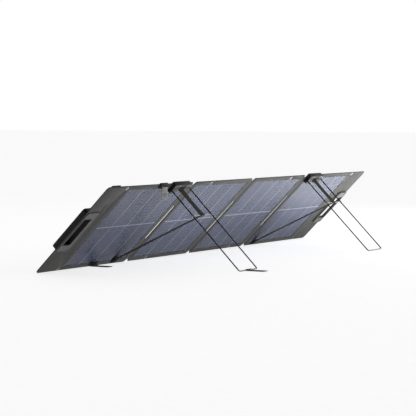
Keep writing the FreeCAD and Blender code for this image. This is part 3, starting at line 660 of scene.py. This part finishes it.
CAD_FINISHES: dict[Finish, tuple[str, ...]] = {
    CELL: tuple(f"leaf_{leaf}_cells" for leaf in range(1, 5)),
    TINNED_COPPER: tuple(f"leaf_{leaf}_ribbons" for leaf in range(1, 5)),
    NICKEL: tuple(f"leaf_{leaf}_eyelets" for leaf in range(1, 5)),
    BLACK_RIVET: ("margin_rivets",),
    ZINC_PLATE: ("left_handle_screws", "right_handle_screws", "leg_1_strap_pin", "leg_2_strap_pin"),
    GREY_ABS: ("left_handle_frame", "right_handle_frame"),
    BLACK_ABS: ("left_handle_grip", "right_handle_plate", "junction_box_tray", "junction_box_cover"),
    BLACK_NYLON: ("junction_box_gland",),
    RESIST: ("junction_box_circuit",),
    EPOXY: ("junction_box_diodes",),
    BLACK_COAT: ("leg_1_wire", "leg_2_wire"),
    BARE_STEEL: ("leg_1_crossbar", "leg_2_crossbar"),
}


# --- shaping -----------------------------------------------------------------------------------------------------

SHARP = math.radians(35)


def make_piece(name: str, mesh_in_work: bmesh.types.BMesh, finishes: Iterable[Finish],
               body: str | None = None, lean: bool = True) -> bpy.types.Object:
    """Turns a bmesh into a finished piece.

    Args:
        name: The piece's name.
        mesh_in_work: Its shape, which is freed.
        finishes: Its finishes, in the order of its faces' material numbers.
        body: The body that it rides on, or None for a piece that rides on none, as a seam's cloth between two leaves.
        lean: Whether the shape is still in millimetres on the flat panel.

    Returns:
        The new object, at the origin.
    """
    if lean:
        bmesh.ops.transform(mesh_in_work, matrix=LEAN, verts=mesh_in_work.verts)
    mesh = bpy.data.meshes.new(name)
    mesh_in_work.to_mesh(mesh)
    mesh_in_work.free()
    mesh.shade_smooth()
    mesh.set_sharp_from_angle(angle=SHARP)
    for finish in finishes:
        mesh.materials.append(finish.make())
    piece = bpy.data.objects.new(name, mesh)
    bpy.context.scene.collection.objects.link(piece)
    if body:
        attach(piece, body)
    LOG.info("%s: %d faces", name, len(mesh.polygons))
    return piece


def add_box(shape: bmesh.types.BMesh, low: tuple[float, float, float], high: tuple[float, float, float]) -> None:
    """Adds a box between two corners.

    Args:
        shape: The mesh that takes it.
        low: The corner with the least of each coordinate.
        high: The corner with the most of each coordinate.
    """
    low_corner, high_corner = Vector(low), Vector(high)
    size = high_corner - low_corner
    bmesh.ops.create_cube(shape, size=1, matrix=Matrix.Translation((low_corner + high_corner) / 2)
                          @ Matrix.Diagonal((*size, 1)))


def take_in(shape: bmesh.types.BMesh, other: bmesh.types.BMesh) -> None:
    """Adds one mesh to another and frees it.

    Args:
        shape: The mesh that takes the other.
        other: The mesh that is added, and freed.
    """
    carrier = bpy.data.meshes.new("carrier")
    other.to_mesh(carrier)
    other.free()
    shape.from_mesh(carrier)
    bpy.data.meshes.remove(carrier)


def soften(shape: bmesh.types.BMesh, width: float, segments: int = 2) -> None:
    """Rounds every edge where two faces meet at a clear angle.

    Args:
        shape: The mesh that is rounded.
        width: The width of the rounding, in the mesh's own units.
        segments: How many faces go round an edge.
    """
    edges = [edge for edge in shape.edges if len(edge.link_faces) == 2 and edge.calc_face_angle() > SHARP]
    bmesh.ops.bevel(shape, geom=edges, offset=width, segments=segments, profile=0.5, affect="EDGES", material=-1,
                    clamp_overlap=True)


def cad_copy(node: str, width: float, segments: int = 2) -> bmesh.types.BMesh:
    """Copies a CAD node's mesh, merges it and rounds its edges by a width in millimetres.

    Args:
        node: The CAD node's name.
        width: The width of the rounding in millimetres.
        segments: How many faces go round an edge.

    Returns:
        The new mesh, in metres where the CAD node is.
    """
    shape = bmesh.new()
    shape.from_mesh(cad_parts[node].data)
    bmesh.ops.remove_doubles(shape, verts=shape.verts, dist=0.01 * MM)
    bmesh.ops.dissolve_limit(shape, angle_limit=math.radians(0.5), verts=shape.verts, edges=shape.edges)
    soften(shape, width * MM, segments)
    return shape


def softened_node(node: str, finish: Finish, body: str, width: float) -> bpy.types.Object:
    """A piece that stands for a CAD node, in the same shape with its edges rounded."""
    piece = make_piece(f"{node}_moulded", cad_copy(node, width), [finish], body, lean=False)
    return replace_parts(piece, node)


@dataclass
class Stitching:
    """Rows of lockstitches that lie on one face of a piece of cloth."""

    pitch: float = 3.2
    length: float = 2.3
    width: float = 0.75
    height: float = 0.7

    def along(self, shape: bmesh.types.BMesh, points: list[tuple[float, float]], out: float,
              clear_of: Iterable[tuple[float, float, float]] = ()) -> None:
        """Adds the stitches of one row.

        Args:
            shape: The mesh that takes them.
            points: The row's corners on the flat panel.
            out: How far out of the rear face the cloth's surface is.
            clear_of: Discs that the row is left out of, as centre and radius.
        """
        for start, end in zip(points, points[1:]):
            row = bmesh.new()
            line = Vector(end) - Vector(start)
            count = max(1, round(line.length / self.pitch))
            turn = Matrix.Rotation(math.atan2(line.y, line.x), 4, "Z")
            size = Matrix.Diagonal((self.length, self.width, self.height, 1))
            for step in range(count):
                middle = Vector(start) + line * ((step + 0.5) / count)
                if any(math.dist(middle, (x, y)) < radius for x, y, radius in clear_of):
                    continue
                bmesh.ops.create_icosphere(row, subdivisions=1, radius=0.5,
                                           matrix=Matrix.Translation((*middle, out)) @ turn @ size)
            take_in(shape, row)

    def box(self, shape: bmesh.types.BMesh, low: tuple[float, float], high: tuple[float, float], out: float) -> None:
        """Adds a sewn box with a cross in it, as holds the end of a strap.

        Args:
            shape: The mesh that takes it.
            low: The box's lower left corner.
            high: The box's upper right corner.
            out: How far out the cloth's surface is.
        """
        (left, bottom), (right, top) = low, high
        self.along(shape, [low, (right, bottom), high, (left, top), low], out)
        self.along(shape, [low, high], out)
        self.along(shape, [(left, top), (right, bottom)], out)


def arc(centre: tuple[float, float], radius: float, start: float, steps: int = 4) -> list[tuple[float, float]]:
    """The corners of a quarter turn, anticlockwise from a start angle in degrees."""
    return [(centre[0] + radius * math.cos(math.radians(start + 90 * step / steps)),
             centre[1] + radius * math.sin(math.radians(start + 90 * step / steps))) for step in range(steps + 1)]


# --- the leaves and their seams ----------------------------------------------------------------------------------

@dataclass
class Leaf:
    """One leaf: the cloth-covered board, its sewing, the encapsulant and the solder pads on its cells."""

    number: int
    eyelet: float
    margin_left: bool = False
    margin_right: bool = False
    corner: float = 15
    hem_inset: float = 2.4
    slot: float = 195
    # The width of the dark strip of painted shade on each slot wall.
    slot_shade_width: float = 7
    window_inset: float = 4
    pad_size: tuple[float, float] = (3.2, 2.2)
    pads_per_cell: int = 6
    rows: int = 2
    row_pitch: float = 215
    columns: int = 4
    cell_length: float = 105
    cell_height: float = 210
    ribbons: int = 12
    ribbon_pitch: float = 17.5
    # The half thickness of that strip of painted shade.
    slot_shade_half_thickness: float = 1.1
    bus_tape_half_width: float = 2.5
    eyelet_inset: float = 11
    eyelet_clearance: float = 9

    @property
    def body(self) -> str:
        """The name of the leaf's body."""
        return f"leaf_{self.number}"

    @property
    def middle(self) -> float:
        """The middle of the leaf's window along the panel."""
        return (self.number - 2.5) * LEAF_PITCH

    @property
    def sides(self) -> tuple[float, float]:
        """Where the leaf starts and ends along the panel."""
        left = (self.number - 3) * LEAF_PITCH + SEAM_GAP / 2
        right = (self.number - 2) * LEAF_PITCH - SEAM_GAP / 2
        return (-HALF_LENGTH if self.margin_left else left), (HALF_LENGTH if self.margin_right else right)

    def make_border(self) -> None:
        """The board in its cloth, with a darker copy of the cloth round the edges as painted shade."""
        shape = cad_copy(f"{self.body}_border", 0.7)
        for face in shape.faces:
            # Every face that doesn't face out of the rear or the front gets the darker copy of the cloth: painted
            # shade on the edges.
            face.material_index = 0 if abs(face.normal.dot(OUT)) > 0.5 else 1
        piece = make_piece(f"{self.body}_border_cloth", shape, [BORDER_CLOTH, EDGE_PAINTED_SHADE],
                           self.body, lean=False)
        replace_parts(piece, f"{self.body}_border")

    def shade_slot_walls(self) -> None:
        """A dark strip that edges the open slots in the seams, a little proud of the leaf's sides: painted shade on
        the slot walls.
        """
        shape = bmesh.new()
        low, high = ((PANEL_HEIGHT + way * self.slot) / 2 - way for way in (-1, 1))
        for side, outer_end, way in zip(self.sides, (self.margin_left, self.margin_right), (-1, 1)):
            if not outer_end:
                near, far = sorted((side - way, side + way * self.slot_shade_width))
                # Each strip is drawn in the darker cloth: painted shade on the slot wall.
                add_box(shape, (near, low, -BOARD / 2 - self.slot_shade_half_thickness),
                        (far, high, -BOARD / 2 + self.slot_shade_half_thickness))
        make_piece(f"{self.body}_slot_tape", shape, [EDGE_PAINTED_SHADE], self.body)

    def hem(self) -> list[tuple[float, float]]:
        """The row of stitches just inside the leaf's outline.

        Returns:
            The row's corners, closed.
        """
        left, right = self.sides
        low, high = self.hem_inset, PANEL_HEIGHT - self.hem_inset
        left, right = left + self.hem_inset, right - self.hem_inset
        radius = self.corner - self.hem_inset
        points: list[tuple[float, float]] = []
        for x, y, start, rounded in ((right, low, 270, self.margin_right), (right, high, 0, self.margin_right),
                                     (left, high, 90, self.margin_left), (left, low, 180, self.margin_left)):
            turn = radius if rounded else 2 * self.hem_inset
            inner = (x - math.copysign(turn, x - self.middle), y - math.copysign(turn, y - PANEL_HEIGHT / 2))
            points += arc(inner, turn, start, 4 if rounded else 1)
        return [*points, points[0]]

    def window(self) -> list[tuple[float, float]]:
        """The row of stitches round the window.

        Returns:
            The row's corners, closed.
        """
        left, right = (self.middle + side * (AREA[0] / 2 + self.window_inset) for side in (-1, 1))
        low, high = EDGE_BORDER - self.window_inset, PANEL_HEIGHT - EDGE_BORDER + self.window_inset
        return [(left, low), (right, low), (right, high), (left, high), (left, low)]

    def sew(self) -> None:
        """The rows of stitches on both faces."""
        shape = bmesh.new()
        eyelets = [(self.eyelet, up, self.eyelet_clearance)
                   for up in (self.eyelet_inset, PANEL_HEIGHT - self.eyelet_inset)]
        for out in (0.0, -BOARD):
            for row in (self.hem(), self.window()):
                Stitching().along(shape, row, out, eyelets)
        make_piece(f"{self.body}_stitching", shape, [SEWING_THREAD], self.body)

    def lay_films(self) -> None:
        """The two clear films, each a hair thinner than its CAD solid, so that it doesn't touch the ribbons."""
        left, low = self.middle - AREA[0] / 2, EDGE_BORDER
        for side, (inner, outer) in FILM_LAYERS.items():
            shape = bmesh.new()
            add_box(shape, (left, low, inner), (left + AREA[0], low + AREA[1], outer))
            piece = make_piece(f"{self.body}_{side}_film_sheet", shape, [FILM], self.body)
            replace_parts(piece, f"{self.body}_{side}_film")

    def lay_encapsulant(self) -> None:
        """The sheet that shows in the gaps between the cells."""
        shape = bmesh.new()
        left, low = self.middle - AREA[0] / 2, EDGE_BORDER
        add_box(shape, (left, low, -BOARD / 2 - 0.1), (left + AREA[0], low + AREA[1], -BOARD / 2 + 0.1))
        bmesh.ops.subdivide_edges(shape, edges=shape.edges, cuts=3, use_grid_fill=True)
        make_piece(f"{self.body}_encapsulant", shape, [MILK], self.body)

    def tape_bus(self) -> None:
        """The white tape over the bus between the two rows of cells, under both films."""
        shape = bmesh.new()
        left = self.middle - AREA[0] / 2
        bottom, top = (PANEL_HEIGHT / 2 + side * self.bus_tape_half_width for side in (-1, 1))
        for low, high in BUS_TAPE_LAYERS:
            add_box(shape, (left, bottom, low), (left + AREA[0], top, high))
        make_piece(f"{self.body}_bus_tape", shape, [BUS_TAPE], self.body)

    def solder(self) -> None:
        """The pads under each ribbon, on both faces of the cells."""
        shape = bmesh.new()
        left = self.middle - AREA[0] / 2
        long, wide = self.pad_size
        for row in range(self.rows):
            for line in range(self.ribbons):
                pads = bmesh.new()
                up = (EDGE_BORDER + row * self.row_pitch + self.cell_height / 2
                      + (line - (self.ribbons - 1) / 2) * self.ribbon_pitch)
                for column in range(self.columns):
                    for pad in range(self.pads_per_cell):
                        along = left + column * COLUMN_PITCH + self.cell_length * (pad + 0.5) / self.pads_per_cell
                        for low, high in PAD_LAYERS:
                            add_box(pads, (along - long / 2, up - wide / 2, low),
                                    (along + long / 2, up + wide / 2, high))
                take_in(shape, pads)
        make_piece(f"{self.body}_solder_pads", shape, [TINNED_COPPER], self.body)

    def build(self) -> None:
        """Makes the leaf's pieces."""
        self.make_border()
        self.shade_slot_walls()
        self.sew()
        self.lay_films()
        self.lay_encapsulant()
        self.tape_bus()
        self.solder()


class Length(Enum):
    """The two lengths of cloth in a seam."""

    LOWER = 1
    UPPER = -1


@dataclass
class Seam:
    """The cloth hinge between two leaves, in two lengths with an open slot between them."""

    number: int
    tuck: float = 1.5
    slot: float = 195
    notch_half_width: float = 16.5
    notch_depth: float = 18
    columns: int = 7
    thickness: float = 2.2

    @property
    def middle(self) -> float:
        """Where the seam is along the panel."""
        return (self.number - 2) * LEAF_PITCH

    def half_strip(self, length: Length) -> bmesh.types.BMesh:
        """The left half of one length, drawn about the seam, with its share of the notch cut off.

        Args:
            length: Which length of the seam it is.

        Returns:
            The half strip, flat.
        """
        half, tall = SEAM_GAP / 2 + self.tuck, (PANEL_HEIGHT - self.slot) / 2
        shape = bmesh.new()
        place = Matrix.Translation((-half / 2, tall / 2, 0)) @ Matrix.Diagonal((half, tall, 1, 1))
        bmesh.ops.create_grid(shape, x_segments=self.columns, y_segments=24, size=0.5, matrix=place)
        foot = Vector((-self.notch_half_width, 0, 0))
        tip = Vector((-0.5, self.notch_depth, 0))
        slope = tip - foot
        bmesh.ops.bisect_plane(shape, geom=[*shape.verts, *shape.edges, *shape.faces], plane_co=tip,
                               plane_no=(slope.y, -slope.x, 0), clear_outer=True)
        if length is Length.UPPER:
            bmesh.ops.scale(shape, vec=(1, -1, 1), verts=shape.verts)
            bmesh.ops.translate(shape, vec=(0, PANEL_HEIGHT, 0), verts=shape.verts)
        return shape

    def make_length(self, length: Length) -> None:
        """One length of cloth, from its left half.

        Args:
            length: Which length of the seam it is.
        """
        shape = self.half_strip(length)
        bmesh.ops.mirror(shape, geom=[*shape.verts, *shape.edges, *shape.faces], axis="X", merge_dist=0.01)
        bmesh.ops.remove_doubles(shape, verts=shape.verts, dist=0.01)
        bmesh.ops.recalc_face_normals(shape, faces=shape.faces)
        if sum(face.normal.z * face.calc_area() for face in shape.faces) < 0:
            bmesh.ops.reverse_faces(shape, faces=shape.faces)
        area = sum(face.calc_area() for face in shape.faces) * MM * MM
        bmesh.ops.solidify(shape, geom=shape.faces, thickness=self.thickness)
        middle_out = sum(vert.co.z for vert in shape.verts) / len(shape.verts)
        bmesh.ops.translate(shape, vec=(self.middle, 0, -BOARD / 2 - middle_out), verts=shape.verts)
        bmesh.ops.recalc_face_normals(shape, faces=shape.faces)
        piece = make_piece(f"seam_{self.number}_cloth_{length.name.lower()}", shape, [SEAM_CLOTH])
        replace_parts(piece, f"seam_{self.number}_fabric")
        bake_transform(piece)

    def build(self) -> None:
        """Makes both lengths."""
        for length in Length:
            self.make_length(length)


# --- the legs ----------------------------------------------------------------------------------------------------

class Ribbon:
    """A strap that is laid down from one end: an edge across it is extruded and spun along its way.

    The way lies in a plane across the panel, as up the slope and out of the rear face, in millimetres.
    """

    def __init__(self, middle: float, width: float, start: tuple[float, float]) -> None:
        """Puts the first edge across the strap's start.

        Args:
            middle: The strap's middle along the panel.
            width: Its width.
            start: The up and out of its first edge.
        """
        self.shape = bmesh.new()
        self.along = self.shape.verts.layers.float.new("along")
        self.across = self.shape.verts.layers.float.new("across")
        self.distance = 0.0
        self.middle = middle
        columns = 4
        verts = [self.shape.verts.new((middle + width * (step / columns - 0.5), *start))
                 for step in range(columns + 1)]
        for vert in verts:
            vert[self.across] = vert.co.x - middle
        self.edges = [self.shape.edges.new(pair) for pair in zip(verts, verts[1:])]

    def line(self, up: float, out: float, steps: int = 1) -> None:
        """Runs straight to a point in some steps.

        Args:
            up: The point's distance up the slope.
            out: Its distance out of the rear face.
            steps: How many lengths the run is cut into.
        """
        here = self.edges[0].verts[0].co
        step = Vector((0, up - here.y, out - here.z)) / steps
        for _ in range(steps):
            made = bmesh.ops.extrude_edge_only(self.shape, edges=self.edges)["geom"]
            verts = [item for item in made if isinstance(item, bmesh.types.BMVert)]
            bmesh.ops.translate(self.shape, vec=step, verts=verts)
            self.distance += step.length
            self.edges = [item for item in made if isinstance(item, bmesh.types.BMEdge)
                          and all(vert in verts for vert in item.verts)]
            for vert in verts:
                vert[self.along] = self.distance
                vert[self.across] = vert.co.x - self.middle

    def turn(self, centre: tuple[float, float], angle: float, steps: int) -> None:
        """Goes round a rod that runs along the panel, by an angle in degrees.

        Args:
            centre: The rod's up and out.
            angle: How far it goes round, in degrees.
            steps: How many lengths the turn is cut into.
        """
        here = self.edges[0].verts[0].co
        radius = math.dist((here.y, here.z), centre)
        for _ in range(steps):
            verts = list({vert for edge in self.edges for vert in edge.verts})
            made = bmesh.ops.spin(self.shape, geom=[*self.edges, *verts], cent=(0, *centre), axis=(1, 0, 0),
                                  angle=math.radians(angle / steps), steps=1, use_merge=False,
                                  use_duplicate=False)["geom_last"]
            self.distance += radius * math.radians(abs(angle) / steps)
            self.edges = [item for item in made if isinstance(item, bmesh.types.BMEdge)]
            for vert in {vert for edge in self.edges for vert in edge.verts}:
                vert[self.along] = self.distance
                vert[self.across] = vert.co.x - self.middle

    def thicken(self, thickness: float) -> bmesh.types.BMesh:
        """Gives the strap its thickness, half to each side.

        Args:
            thickness: The strap's thickness.

        Returns:
            The finished mesh.
        """
        bmesh.ops.remove_doubles(self.shape, verts=self.shape.verts, dist=0.001)
        bmesh.ops.recalc_face_normals(self.shape, faces=self.shape.faces)
        self.shape.normal_update()
        for vert in self.shape.verts:
            vert.co += vert.normal * thickness / 2
        bmesh.ops.solidify(self.shape, geom=self.shape.faces, thickness=thickness)
        bmesh.ops.recalc_face_normals(self.shape, faces=self.shape.faces)
        return self.shape


@dataclass
class Leg:
    """One leg: the bracket that holds it, and the strap that stays it at the crossbar."""

    number: int
    middle: float
    leaf: str
    hinge: tuple[float, float] = (451, 9)
    crossbar_out: float = 155.0
    pin_radius: float = 2.5
    bar_radius: float = 1.5
    strap_width: float = 32
    strap: float = 1.2
    loop_gap: float = 0.5
    tail: float = 34
    anchor_top: float = 26.5
    anchor_low: float = 7
    anchor_width: float = 37
    loop_start: float = 55
    loop_turn: float = 250
    pin_neck: float = 2.6
    bar_neck: float = 2.8
    patch_out: float = 0.9
    patch_thickness: float = 1.8
    stay_foot: float = 3
    stay_out: float = 3.2
    stay_clear_of_bar: float = 3.6
    folded_share: float = 0.012

    def make_bracket(self) -> None:
        """The bracket and its ribbed covers, with moulded edges."""
        softened_node(f"leg_{self.number}_bracket", BLACK_NYLON, self.leaf, 0.8)
        softened_node(f"leg_{self.number}_bracket_covers", COVER_NYLON, self.leaf, 0.5)

    def make_upper_strap(self) -> None:
        """The length from the bracket's pin to the crossbar, looped round both and sewn back on itself."""
        up, out = self.hinge
        layer = self.strap / 2 + 0.05
        reach = self.crossbar_out - out
        round_rod = math.radians(self.loop_start)
        top_loop = self.pin_radius + self.loop_gap + self.strap / 2
        low_loop = self.bar_radius + self.loop_gap + self.strap / 2
        ribbon = Ribbon(self.middle, self.strap_width, (up + layer, out + self.tail))
        ribbon.line(up + layer, out + self.pin_neck * top_loop, 8)
        ribbon.line(up + top_loop * math.sin(round_rod), out + top_loop * math.cos(round_rod))
        ribbon.turn((up, out), -self.loop_turn, 16)
        ribbon.line(up - layer, out + self.pin_neck * top_loop)
        ribbon.line(up - layer, out + reach - self.bar_neck * low_loop, 24)
        ribbon.line(up - low_loop * math.sin(round_rod), out + reach - low_loop * math.cos(round_rod))
        ribbon.turn((up, out + reach), -self.loop_turn, 16)
        ribbon.line(up + layer, out + reach - self.bar_neck * low_loop)
        ribbon.line(up + layer, out + reach - self.tail, 8)
        piece = make_piece(f"leg_{self.number}_strap_upper_webbing", ribbon.thicken(self.strap), [STRAP_WEBBING],
                           f"leg_{self.number}")
        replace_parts(piece, f"leg_{self.number}_strap_upper")

    def make_lower_strap(self) -> None:
        """The taut length from the crossbar down to the anchor at the bottom edge."""
        up, _ = self.hinge
        low = Vector((self.anchor_top + 0.5, self.stay_out))
        high = Vector((up, self.crossbar_out))
        slope = (high - low).normalized()
        ribbon = Ribbon(self.middle, self.strap_width, tuple(low - Vector((self.stay_foot, 0))))
        ribbon.line(*low)
        ribbon.line(*(high - slope * self.stay_clear_of_bar), 40)
        # The lower strap is drawn in the darkened webbing: painted shade.
        piece = make_piece(f"leg_{self.number}_strap_lower_webbing", ribbon.thicken(self.strap), [STAY_WEBBING_PAINTED_SHADE],
                           self.leaf)
        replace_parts(piece, f"leg_{self.number}_strap_lower")
        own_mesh(piece)

    def make_anchor(self) -> None:
        """The patch that holds the strap's end: a wide piece of webbing with the strap's end sewn down on it."""
        ribbon = Ribbon(self.middle, self.anchor_width, (self.anchor_low, self.patch_out))
        ribbon.line(self.anchor_top, self.patch_out, 4)
        patch = ribbon.thicken(self.patch_thickness)
        end = Ribbon(self.middle, self.strap_width, (self.anchor_low + 1.5, 2.5))
        end.line(self.anchor_top, 2.6, 4)
        end.line(self.anchor_top + 1.2, 3.0)
        take_in(patch, end.thicken(self.strap))
        # The anchor is drawn in the darkened webbing too: painted shade.
        piece = make_piece(f"leg_{self.number}_strap_anchor_webbing", patch, [STAY_WEBBING_PAINTED_SHADE], self.leaf)
        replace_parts(piece, f"leg_{self.number}_strap_anchor")

    def sew(self) -> None:
        """The sewn boxes at the anchor and on the strap's two tails."""
        stitch = Stitching(pitch=3.0, length=2.2, width=0.7, height=0.6)
        half = self.strap_width / 2 - 3
        shape = bmesh.new()
        stitch.box(shape, (self.middle - half, self.anchor_low + 4), (self.middle + half, self.anchor_top - 3), 3.15)
        make_piece(f"leg_{self.number}_anchor_stitching", shape, [STRAP_THREAD], self.leaf)
        up, out = self.hinge
        shape = bmesh.new()
        # Each box is drawn flat across the strap and stood up on the strap's two faces.
        for side in (-1, 1):
            face = bmesh.new()
            for low in (out + 11, self.crossbar_out - self.tail + 3):
                stitch.box(face, (-half, low), (half, low + self.tail - 15), 0)
            stand = Matrix(((1, 0, 0, self.middle), (0, 0, 1, up + side * (self.strap + 0.1)), (0, 1, 0, 0),
                            (0, 0, 0, 1)))
            bmesh.ops.transform(face, matrix=stand, verts=face.verts)
            bmesh.ops.reverse_faces(face, faces=face.faces)
            take_in(shape, face)
        make_piece(f"leg_{self.number}_strap_stitching", shape, [STRAP_THREAD], f"leg_{self.number}")

    def build(self) -> None:
        """Makes the leg's pieces."""
        self.make_bracket()
        self.make_upper_strap()
        self.make_lower_strap()
        self.make_anchor()
        self.sew()


@dataclass
class GroundTabs:
    """The tabs that can be pegged to the ground, and the clips that hold them."""

    edge: float = 0.4

    def build(self) -> None:
        """Makes the tabs and clips with moulded edges."""
        for node, finish, slot, body in (
            ("top_tab_clip", BLACK_NYLON, "bracket_plastic", "leaf_1"),
            ("bottom_tab_clip", BLACK_NYLON, "bracket_plastic", "leaf_1"),
            ("hanging_tab", TAB_NYLON, "grey_tab", "hanging_tab"),
            # The two low tabs are drawn in the darkened moulding: painted shade.
            ("bottom_tab", TAB_NYLON_PAINTED_SHADE, "grey_tab", "bottom_tab"),
            ("foot_tab", TAB_NYLON_PAINTED_SHADE, "grey_tab", "foot_tab"),
        ):
            softened_node(node, finish, body, self.edge)


# --- the studio --------------------------------------------------------------------------------------------------

@dataclass
class Studio:
    """A pale floor that is lit a little from below, a dim sky, three soft boxes and the camera."""

    camera_at: tuple[float, float, float] = (-6.35375, -3.40258, 0.5890)
    yaw: float = 60.104
    pitch: float = 3.033
    roll: float = 0.1
    lens: float = 146.4
    sensor: float = 36
    sky: float = 0.8
    dim_sky: float = 0.08
    # Each soft box's name, place, aim, width and height, and power in watts. The low ones lie on the floor, face up.
    soft_boxes: tuple = (
        ("low_box_middle", (0.0, -0.5, 0.0008), (0.0, -0.5, 1.0), (1.4, 1.3), 7),
        ("low_box_end", (1.45, -0.5, 0.0008), (1.45, -0.5, 1.0), (1.5, 1.3), 19),
        ("side_box", (3.2, -1.2, 1.0), (0.6, 0.1, 0.15), (1.6, 0.9), 25),
    )

    def set_camera(self) -> None:
        """The camera, behind the panel and to its left, a little above it."""
        camera = bpy.data.objects.new("camera", bpy.data.cameras.new("camera"))
        camera.data.lens = self.lens
        camera.data.sensor_width = self.sensor
        yaw, pitch = math.radians(self.yaw), math.radians(self.pitch)
        ahead = Vector((math.sin(yaw) * math.cos(pitch), math.cos(yaw) * math.cos(pitch), -math.sin(pitch)))
        turn = ahead.to_track_quat("-Z", "Y").to_matrix().to_4x4()
        roll = Matrix.Rotation(math.radians(self.roll), 4, "Z")
        camera.matrix_world = Matrix.Translation(self.camera_at) @ turn @ roll
        bpy.context.scene.collection.objects.link(camera)
        bpy.context.scene.camera = camera

    def lay_floor(self) -> None:
        """The sheet of paper that the panel stands on."""
        shape = bmesh.new()
        bmesh.ops.create_grid(shape, x_segments=4, y_segments=4, size=60)
        floor = bpy.data.objects.new("studio_floor", bpy.data.meshes.new("studio_floor"))
        shape.to_mesh(floor.data)
        shape.free()
        floor.data.materials.append(PAPER.make())
        bpy.context.scene.collection.objects.link(floor)

    def hang_light(self, name: str, at: tuple[float, float, float], aim: tuple[float, float, float],
                   size: tuple[float, float], power: float) -> None:
        """Hangs one soft box.

        Args:
            name: The light's name.
            at: Where it is.
            aim: The point that it faces.
            size: Its width and height.
            power: Its power in watts.
        """
        light = bpy.data.lights.new(name, "AREA")
        light.shape = "RECTANGLE"
        light.size, light.size_y = size
        light.energy = power
        lamp = bpy.data.objects.new(name, light)
        turn = (Vector(aim) - Vector(at)).to_track_quat("-Z", "Y").to_matrix().to_4x4()
        lamp.matrix_world = Matrix.Translation(at) @ turn
        lamp.visible_camera = False
        bpy.context.scene.collection.objects.link(lamp)

    def set_sky(self) -> None:
        """The light from all round, and the plain white backdrop that is seen."""
        world = bpy.data.worlds.new("studio")
        world.use_nodes = True
        world.node_tree.nodes.clear()
        tree = world.node_tree
        add = partial(add_node, tree)
        way = add("SeparateXYZ", {"Vector": add("TexCoord").outputs["Generated"]})
        # The sky is brighter on the panel's right, and dimmer overhead than at the horizon.
        across = add("MapRange", {
            "Value": way.outputs["X"], "From Min": -0.5, "From Max": 1.0, "To Min": self.dim_sky, "To Max": self.sky,
        }, interpolation_type="SMOOTHSTEP")
        overhead = add("MapRange", {
            "Value": way.outputs["Z"], "From Min": 0.0, "From Max": 1.0, "To Min": 1.0, "To Max": 0.5,
        })
        strength = add("Math", {0: across, 1: overhead}, operation="MULTIPLY")
        room = add("Background", {"Color": linear("#FFFFFF"), "Strength": strength})
        backdrop = add("Background", {"Color": linear("#FFFFFF"), "Strength": 1.0})
        seen = add("LightPath").outputs["Is Camera Ray"]
        add("OutputWorld", {"Surface": add("MixShader", {0: seen, 1: room, 2: backdrop})})
        bpy.context.scene.world = world
        bpy.context.scene.view_settings.view_transform = "Standard"

    def build(self) -> None:
        """Sets the whole studio."""
        self.set_camera()
        self.lay_floor()
        self.set_sky()
        for soft_box in self.soft_boxes:
            self.hang_light(*soft_box)


def dress_cad_nodes() -> None:
    """Gives the CAD nodes that show their finishes."""
    for finish, nodes in CAD_FINISHES.items():
        for node in nodes:
            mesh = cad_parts[node].data
            if not mesh.materials:
                mesh.materials.append(None)
            for number in range(len(mesh.materials)):
                mesh.materials[number] = finish.make()


def main() -> None:
    """Builds the studio and every sub-assembly in order."""
    logging.basicConfig(level=logging.INFO, format="%(name)s %(message)s")
    Studio().build()
    dress_cad_nodes()
    for leaf in (Leaf(1, -994, margin_left=True), Leaf(2, -358), Leaf(3, 358), Leaf(4, 994, margin_right=True)):
        leaf.build()
    for number in (1, 2, 3):
        Seam(number).build()
    for leg in (Leg(1, -608.5, "leaf_1"), Leg(2, 579.5, "leaf_4")):
        leg.build()
    GroundTabs().build()


if __name__ == "__main__":
    main()
